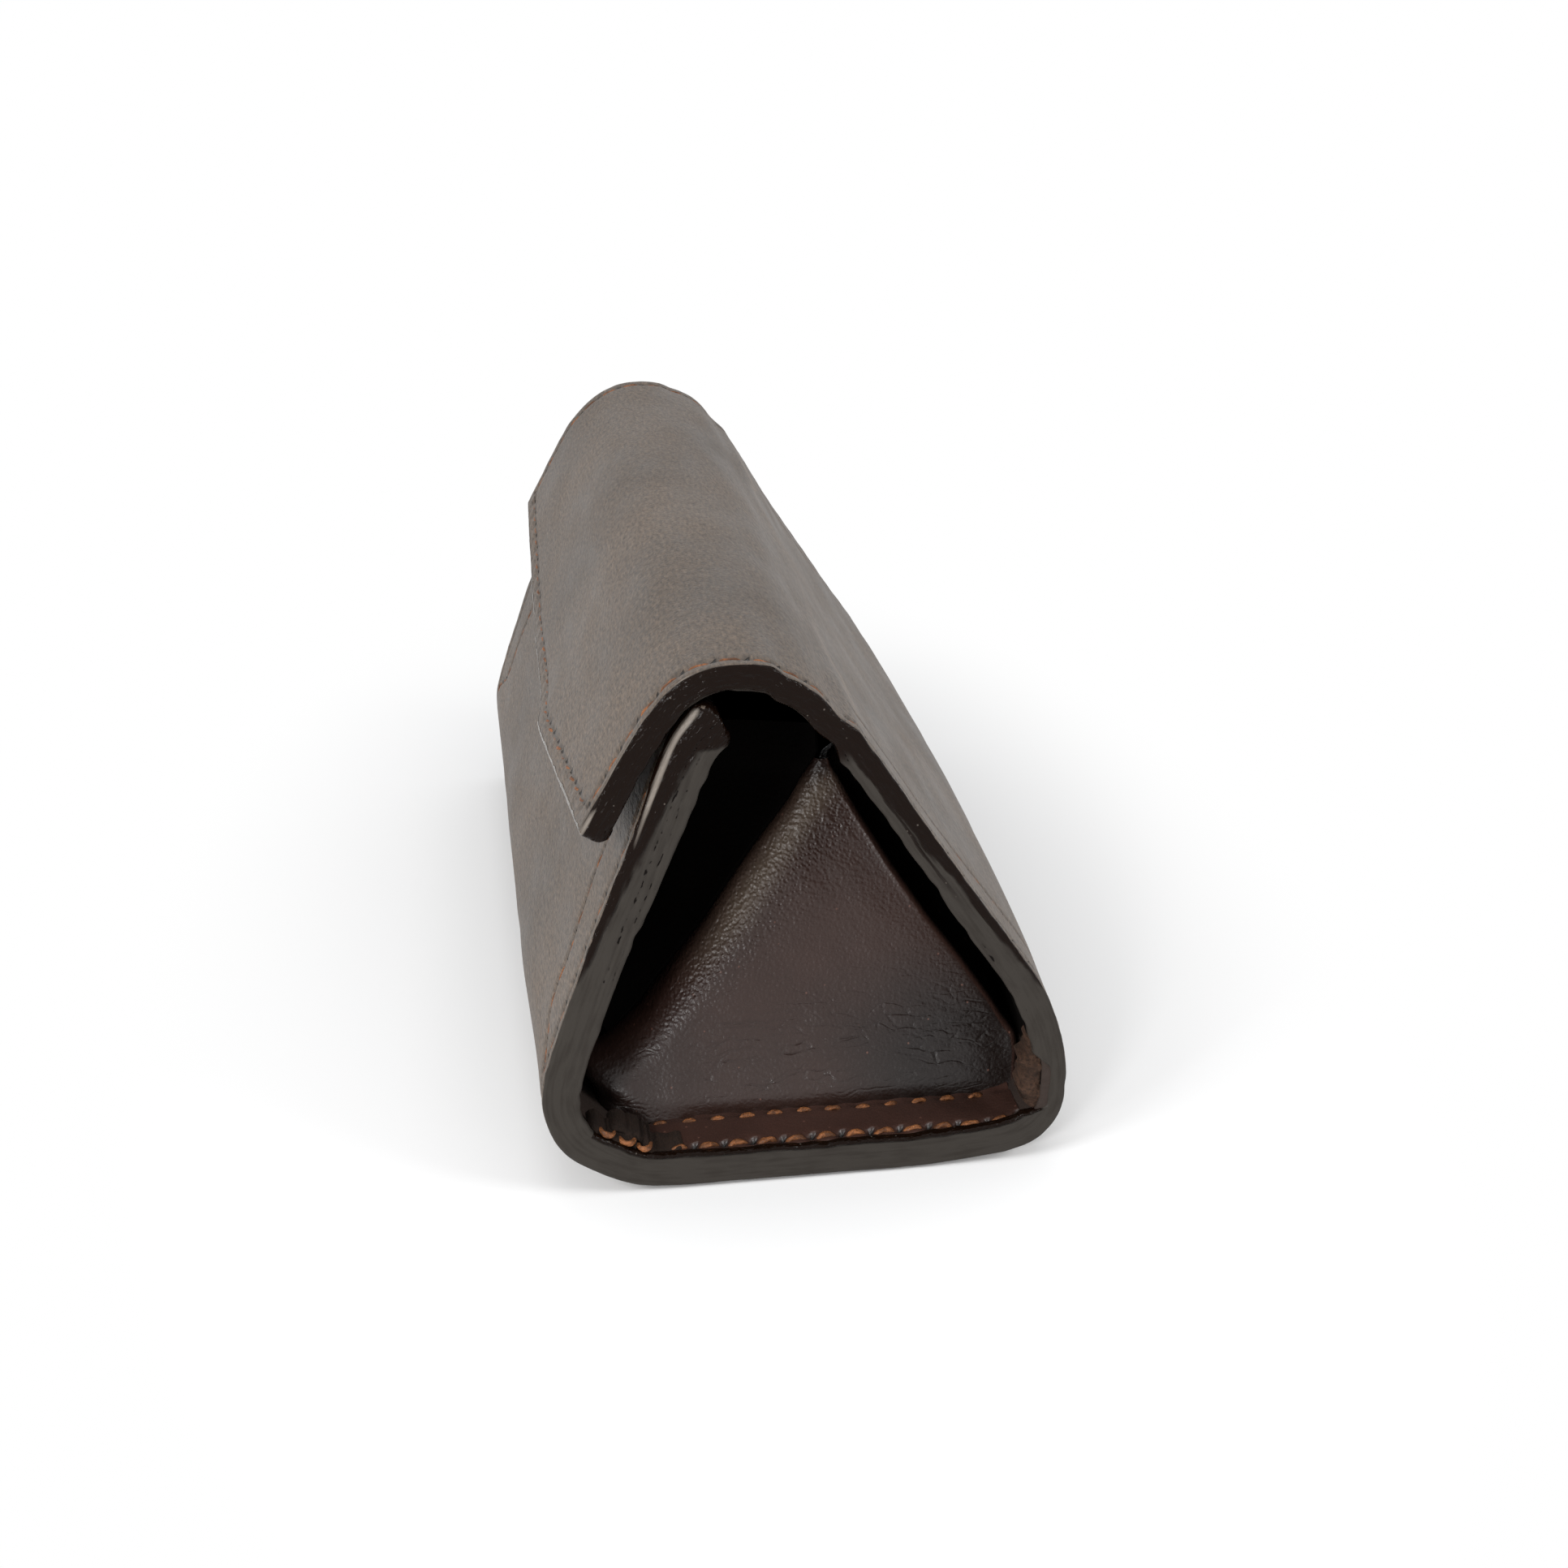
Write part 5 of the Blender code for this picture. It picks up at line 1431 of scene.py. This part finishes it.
class CaseLooks(bpy.types.PropertyGroup):
    """Colours and sizes of the case's finishes."""
    outer: FloatVectorProperty(name="Outer leather", description="Colour of the smooth outer leather",
                               subtype="COLOR", default=linear("#4c4137"))
    lining: FloatVectorProperty(name="Lining", description="Colour of the lining leather",
                                subtype="COLOR", default=linear("#2b211c"))
    gusset: FloatVectorProperty(name="Gusset", description="Colour of the soft gusset leather",
                                subtype="COLOR", default=linear("#3a2721"))
    # near black inside the pleats: a painted shade
    flesh: FloatVectorProperty(name="Flesh side", description="Colour inside the gussets' pleats",
                               subtype="COLOR", default=linear("#0b0908"))
    paint: FloatVectorProperty(name="Edge paint", description="Colour of the glossy edge paint",
                               subtype="COLOR", default=linear("#120905"))
    paint_worn: FloatVectorProperty(name="Worn edge paint", description="Colour where paint is rubbed",
                                    subtype="COLOR", default=linear("#36322e"))
    raw: FloatVectorProperty(name="Raw leather", description="Colour of cut, unpainted leather",
                             subtype="COLOR", default=linear("#422e22"))
    thread: FloatVectorProperty(name="Thread", description="Colour of the waxed thread",
                                subtype="COLOR", default=linear("#84522f"))
    grain: FloatProperty(name="Leather grain", description="Width at which the pores are drawn",
                         unit="LENGTH", default=0.0005, min=0.0001, max=0.002)
    pebble: FloatProperty(name="Gusset pebble", description="Width at which the pebbles are drawn",
                          unit="LENGTH", default=0.00046, min=0.0001, max=0.002)
    thread_width: FloatProperty(name="Thread width", description="Width of the sewing thread",
                                unit="LENGTH", default=0.0009, min=0.0003, max=0.002)
    column_step: FloatProperty(name="Mesh step", description="Spacing of the leather's mesh",
                               unit="LENGTH", default=0.0008, min=0.0003, max=0.004)


# The photograph's view: focal length and frame in pixels, a 36 mm sensor, and the camera's place,
# right and forward
FOCAL_PX = 3020
FRAME_PX = 1932
SENSOR_MM = 36
CAMERA_PLACE = Vector((0.37260, -0.04416, 0.18600))
CAMERA_RIGHT = Vector((0.14259829, 0.98972734, -0.0102723))
CAMERA_FORWARD = Vector((-0.91238737, 0.12741797, -0.38899093))

# The floor's half width, how far it lies under the case, and the distances between which it goes
# over to plain white
FLOOR_HALF = 2.5
FLOOR_UNDER = 0.0004
WHITE_FROM, WHITE_TO = 0.036, 0.105

# Soft lamps: name, place, what it points at, width and height in metres, and watts
LAMPS = (("overhead softbox", (0.0, 0.05, 0.95), (0, 0, 0.03), (0.9, 0.7), 2.4),
         ("back wall lamp", (0.42, 0.62, 0.52), (0, 0, 0.03), (0.32, 0.24), 2.7),
         ("front wall lamp", (0.42, -0.60, 0.50), (0, 0, 0.03), (0.30, 0.22), 3.2),
         ("end lamp", (0.73, -0.36, 0.37), (0.06, 0, 0.035), (0.12, 0.12), 2.0),
         ("low side lamp", (0.67, -0.64, 0.22), (0.075, -0.02, 0.05), (0.07, 0.07), 1.4))
WORLD_STRENGTH = 0.42


def add_light(name, place, aim, size, power):
    """A rectangular soft light."""
    data = bpy.data.lights.new(name, "AREA")
    data.shape = "RECTANGLE"
    data.size, data.size_y = size
    data.energy = power
    lamp = bpy.data.objects.new(name, data)
    bpy.context.scene.collection.objects.link(lamp)
    lamp.location = place
    lamp.rotation_euler = (Vector(aim) - Vector(place)).to_track_quat("-Z", "Y").to_euler()


def paper_floor():
    """Matt white paper."""
    # Smooth uncoated sheet. The eye sees it even and without gloss. It keeps the shadow near the case
    # and goes over to plain white further out.
    made, node = new_material("matt white paper")
    place = node("ShaderNodeTexCoord", out="Object")
    oval = node("ShaderNodeVectorMath", {0: place, 1: (0.5, 1.0, 1.0)}, operation="MULTIPLY")
    away = node("ShaderNodeVectorMath", {0: oval}, out="Value", operation="LENGTH")
    far = node("ShaderNodeMapRange", {"Value": away, "From Min": WHITE_FROM, "From Max": WHITE_TO},
               interpolation_type="SMOOTHSTEP")
    paper = node("ShaderNodeBsdfPrincipled", {"Base Color": (0.92, 0.92, 0.92, 1), "Roughness": 0.9,
                                              "Specular IOR Level": 0.1})
    white = node("ShaderNodeEmission", {"Color": (1, 1, 1, 1), "Strength": 1.0})
    mixed = node("ShaderNodeMixShader", {0: seen_white(node, far), 1: paper, 2: white})
    node("ShaderNodeOutputMaterial", {"Surface": mixed})
    return made


def white_studio():
    """A world that lights the case softly and looks plain white."""
    world = bpy.data.worlds.new("white studio")
    world.use_nodes = True
    world.node_tree.nodes.clear()
    node = partial(add_node, world.node_tree)
    shown = node("ShaderNodeBackground", {"Color": (1, 1, 1, 1), "Strength": 1.0})
    plain = node("ShaderNodeBackground", {"Color": (0.97, 0.985, 1, 1), "Strength": WORLD_STRENGTH})
    mixed = node("ShaderNodeMixShader", {0: seen_white(node), 1: plain, 2: shown})
    node("ShaderNodeOutputWorld", {"Surface": mixed})
    return world


def seen_white(node, share=1.0):
    """How far a background is plain white: to the camera, in reflections and through glass."""
    rays = node("ShaderNodeLightPath").node.outputs
    seen = rays["Is Camera Ray"]
    for ray in ("Is Glossy Ray", "Is Transmission Ray"):
        seen = node("ShaderNodeMath", {0: seen, 1: rays[ray]}, operation="MAXIMUM")
    return node("ShaderNodeMath", {0: seen, 1: share}, operation="MULTIPLY")


class CASE_OT_stage(bpy.types.Operator):
    """Add the camera, the pale floor and the soft lights"""
    bl_idname = "case.stage"
    bl_label = "Stage"

    def execute(self, context):
        scene = context.scene
        data = bpy.data.cameras.new("photo view")
        data.lens = FOCAL_PX / FRAME_PX * SENSOR_MM
        data.sensor_width = SENSOR_MM
        data.clip_start = 0.01
        camera = bpy.data.objects.new("photo view", data)
        scene.collection.objects.link(camera)
        up = CAMERA_RIGHT.cross(CAMERA_FORWARD)
        turn = Matrix((CAMERA_RIGHT, up, -CAMERA_FORWARD)).transposed().to_4x4()
        camera.matrix_world = Matrix.Translation(CAMERA_PLACE) @ turn
        scene.camera = camera

        mesh = bpy.data.meshes.new("floor")
        corners = [(x * FLOOR_HALF, y * FLOOR_HALF, -FLOOR_UNDER)
                   for x, y in ((-1, -1), (1, -1), (1, 1), (-1, 1))]
        mesh.from_pydata(corners, [], [(0, 1, 2, 3)])
        mesh.materials.append(paper_floor())
        floor = bpy.data.objects.new("floor", mesh)
        scene.collection.objects.link(floor)

        scene.world = white_studio()
        for lamp in LAMPS:
            add_light(*lamp)
        scene.view_settings.view_transform = "Standard"
        return {"FINISHED"}


class CASE_OT_outer_leather(bpy.types.Operator):
    """Build the smooth outer leather: front half and back half of the wrap"""
    bl_idname = "case.outer_leather"
    bl_label = "Outer leather"

    def execute(self, context):
        step = chosen_looks().column_step / MM
        cols = columns(step, 0.5)
        front = outer_piece("outer_leather_front", front_grid(cols, step * 0.8), FRONT_ROUND)
        back = outer_piece("outer_leather_back", back_grid(cols, step * 0.8), FLAP_ROUND)
        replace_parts(bend_front(front), "outer_front")
        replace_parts(bend_flap(back), "outer_body", "outer_flap")
        return {"FINISHED"}


class CASE_OT_lining(bpy.types.Operator):
    """Build the lining leather inside the wrap"""
    bl_idname = "case.lining"
    bl_label = "Lining"

    def execute(self, context):
        cols = columns(1.4, 1.4)
        front = lining_piece("lining_leather_front", front_grid(cols, 1.2))
        back = lining_piece("lining_leather_back", back_grid(cols, 1.2))
        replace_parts(bend_front(front), "lining_front")
        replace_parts(bend_flap(back), "lining_body", "lining_flap")
        return {"FINISHED"}


class CASE_OT_edge_paint(bpy.types.Operator):
    """Paint the cut edges"""
    bl_idname = "case.edge_paint"
    bl_label = "Edge paint"

    def execute(self, context):
        split = S_BASE_MIDDLE
        front = paint_piece("edge_paint_front",
                            [(HALF, split), (HALF, S_TOP), (-HALF, S_TOP), (-HALF, split)], -1,
                            lambda x, s: s - S_TOP, FRONT_ROUND)
        tip, low = S_FLAP + FLAP_END_REACH, S_FLAP + FLAP_END_REACH + FLAP_DROP
        back = paint_piece("edge_paint_back",
                           [(HALF, split), (HALF, tip), (FLAP_FLAT_HALF, low), (-FLAP_FLAT_HALF, low),
                            (-HALF, tip), (-HALF, split)], 1,
                           lambda x, s: flap_edge(x) - s, FLAP_ROUND)
        bend_front(front)
        bend_flap(back)
        return {"FINISHED"}


class CASE_OT_gussets(bpy.types.Operator):
    """Fold the two end gussets"""
    bl_idname = "case.gussets"
    bl_label = "End gussets"

    def execute(self, context):
        # the flanges and the front pleat take the near-black flesh side, a painted shade
        flesh = material_for(flesh_side)
        for side, end in ENDS:
            name = "gusset_" + end
            main = make_piece(name + "_folded", [face_part(side), floor_part(side)],
                              material_for(gusset_leather))
            back = make_piece(name + "_back_flange",
                              [flange_part(side, (146, S_FLAP_HINGE - 5.0), back_valley, 61)], flesh)
            front = make_piece(name + "_front_flange",
                               [flange_part(side, (S_TOP + 2.0, 56), front_valley, 65)], flesh)
            leaf = make_piece(name + "_pleat", [leaf_part(side)], flesh)
            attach(main, "case")
            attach(back, "case")
            bend_front(front)
            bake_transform(leaf)
            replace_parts(main, name)
            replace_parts(front, name + "_front")
        return {"FINISHED"}


class CASE_OT_raw_tags(bpy.types.Operator):
    """Add the raw trimmed ends of the gussets in the bottom corners"""
    bl_idname = "case.raw_tags"
    bl_label = "Raw cut leather"

    def execute(self, context):
        for side, end in ENDS:
            piece = make_piece("gusset_" + end + "_trimmed_corners",
                               [tag_part(side, *tag) for tag in TAGS], material_for(raw_leather))
            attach(piece, "case")
        return {"FINISHED"}


class CASE_OT_stitches(bpy.types.Operator):
    """Sew every row of stitches with twisted waxed thread"""
    bl_idname = "case.stitches"
    bl_label = "Stitches"

    def execute(self, context):
        thread = material_for(waxed_thread)
        radius = chosen_looks().thread_width / MM / 2
        for side, end in ENDS:
            edge = floor_stitches(side, edge_row_gap, FLOOR_ROW_START, radius * 1.1, 11, 0.30, 0.34,
                                  0.72)
            edge += corner_stitches(side, radius)
            crease = floor_stitches(side, crease_row_gap, FLOOR_ROW_START - 2.0, radius * 0.9, 13,
                                    0.2, 0.30, 0.66)
            crease += row_stitches(BASE_SIDE, side, radius * 0.6, 15, 0.2, -0.40)
            sewn = [("thread_base_edge_", edge, ride_case), ("thread_base_crease_", crease, ride_case)]
            for start, row, share, seed, slant, rise, follow in FACE_ROWS:
                parts = row_stitches(row, side, radius * share, seed, slant, rise)
                sewn.append((start, parts, follow))
            for start, parts, follow in sewn:
                piece = make_piece(start + end + "_stitches", parts, thread)
                follow(piece)
                if start != NEW_ROW:
                    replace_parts(piece, start + end)
        low = make_piece("thread_flap_edge_stitches", flap_edge_stitches(radius * 0.55), thread)
        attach(low, "flap")
        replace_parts(low, "thread_flap_edge")
        return {"FINISHED"}


# Magnets: node, body and run down the section, and the discs' rings of radius and depth
MAGNETS = (("flap_magnet", "flap", S_FLAP + FLAP_END_REACH + FLAP_DROP - 11.0),
           ("front_magnet", "front_wall", 11.5))
MAGNET_RINGS = ((0.6, 0.9), (6.4, 0.9), (6.9, 1.0), (7.0, 1.2), (7.0, 1.5), (6.8, 1.7), (6.3, 1.75),
                (0.6, 1.75))


class CASE_OT_magnets(bpy.types.Operator):
    """Set the two magnets between the plies"""
    bl_idname = "case.magnets"
    bl_label = "Magnets"

    def execute(self, context):
        around = np.linspace(0, 2 * math.pi, 41)[:-1]
        for node, body, s in MAGNETS:
            rings = np.array([wall(radius * np.cos(around), s + radius * np.sin(around), depth)
                              for radius, depth in MAGNET_RINGS])
            piece = make_piece(node + "_disc", [(rings, ring_faces(*rings.shape[:2]), {})],
                               material_for(nickel_plate))
            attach(piece, body)
            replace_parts(piece, node)
        return {"FINISHED"}


OPERATORS = (CASE_OT_stage, CASE_OT_outer_leather, CASE_OT_lining, CASE_OT_edge_paint, CASE_OT_gussets,
             CASE_OT_raw_tags, CASE_OT_stitches, CASE_OT_magnets)


class CASE_PT_build(bpy.types.Panel):
    """Lists the steps and the settings"""
    bl_label = "Spectacle case"
    bl_idname = "CASE_PT_build"
    bl_space_type = "VIEW_3D"
    bl_region_type = "UI"
    bl_category = "Case"

    def draw(self, context):
        for name in CaseLooks.__annotations__:
            self.layout.prop(context.scene.case_looks, name)
        for operator in OPERATORS:
            self.layout.operator(operator.bl_idname)


CLASSES = (CaseLooks, *OPERATORS, CASE_PT_build)


def register():
    """Register the classes and the settings."""
    for item in CLASSES:
        bpy.utils.register_class(item)
    bpy.types.Scene.case_looks = PointerProperty(type=CaseLooks)


def unregister():
    """Take the settings and the classes away again."""
    del bpy.types.Scene.case_looks
    for item in reversed(CLASSES):
        bpy.utils.unregister_class(item)


def main():
    """Build the case step by step."""
    register()
    for operator in OPERATORS:
        getattr(bpy.ops.case, operator.bl_idname.split(".")[1])()
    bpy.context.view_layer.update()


if __name__ == "__main__":
    main()
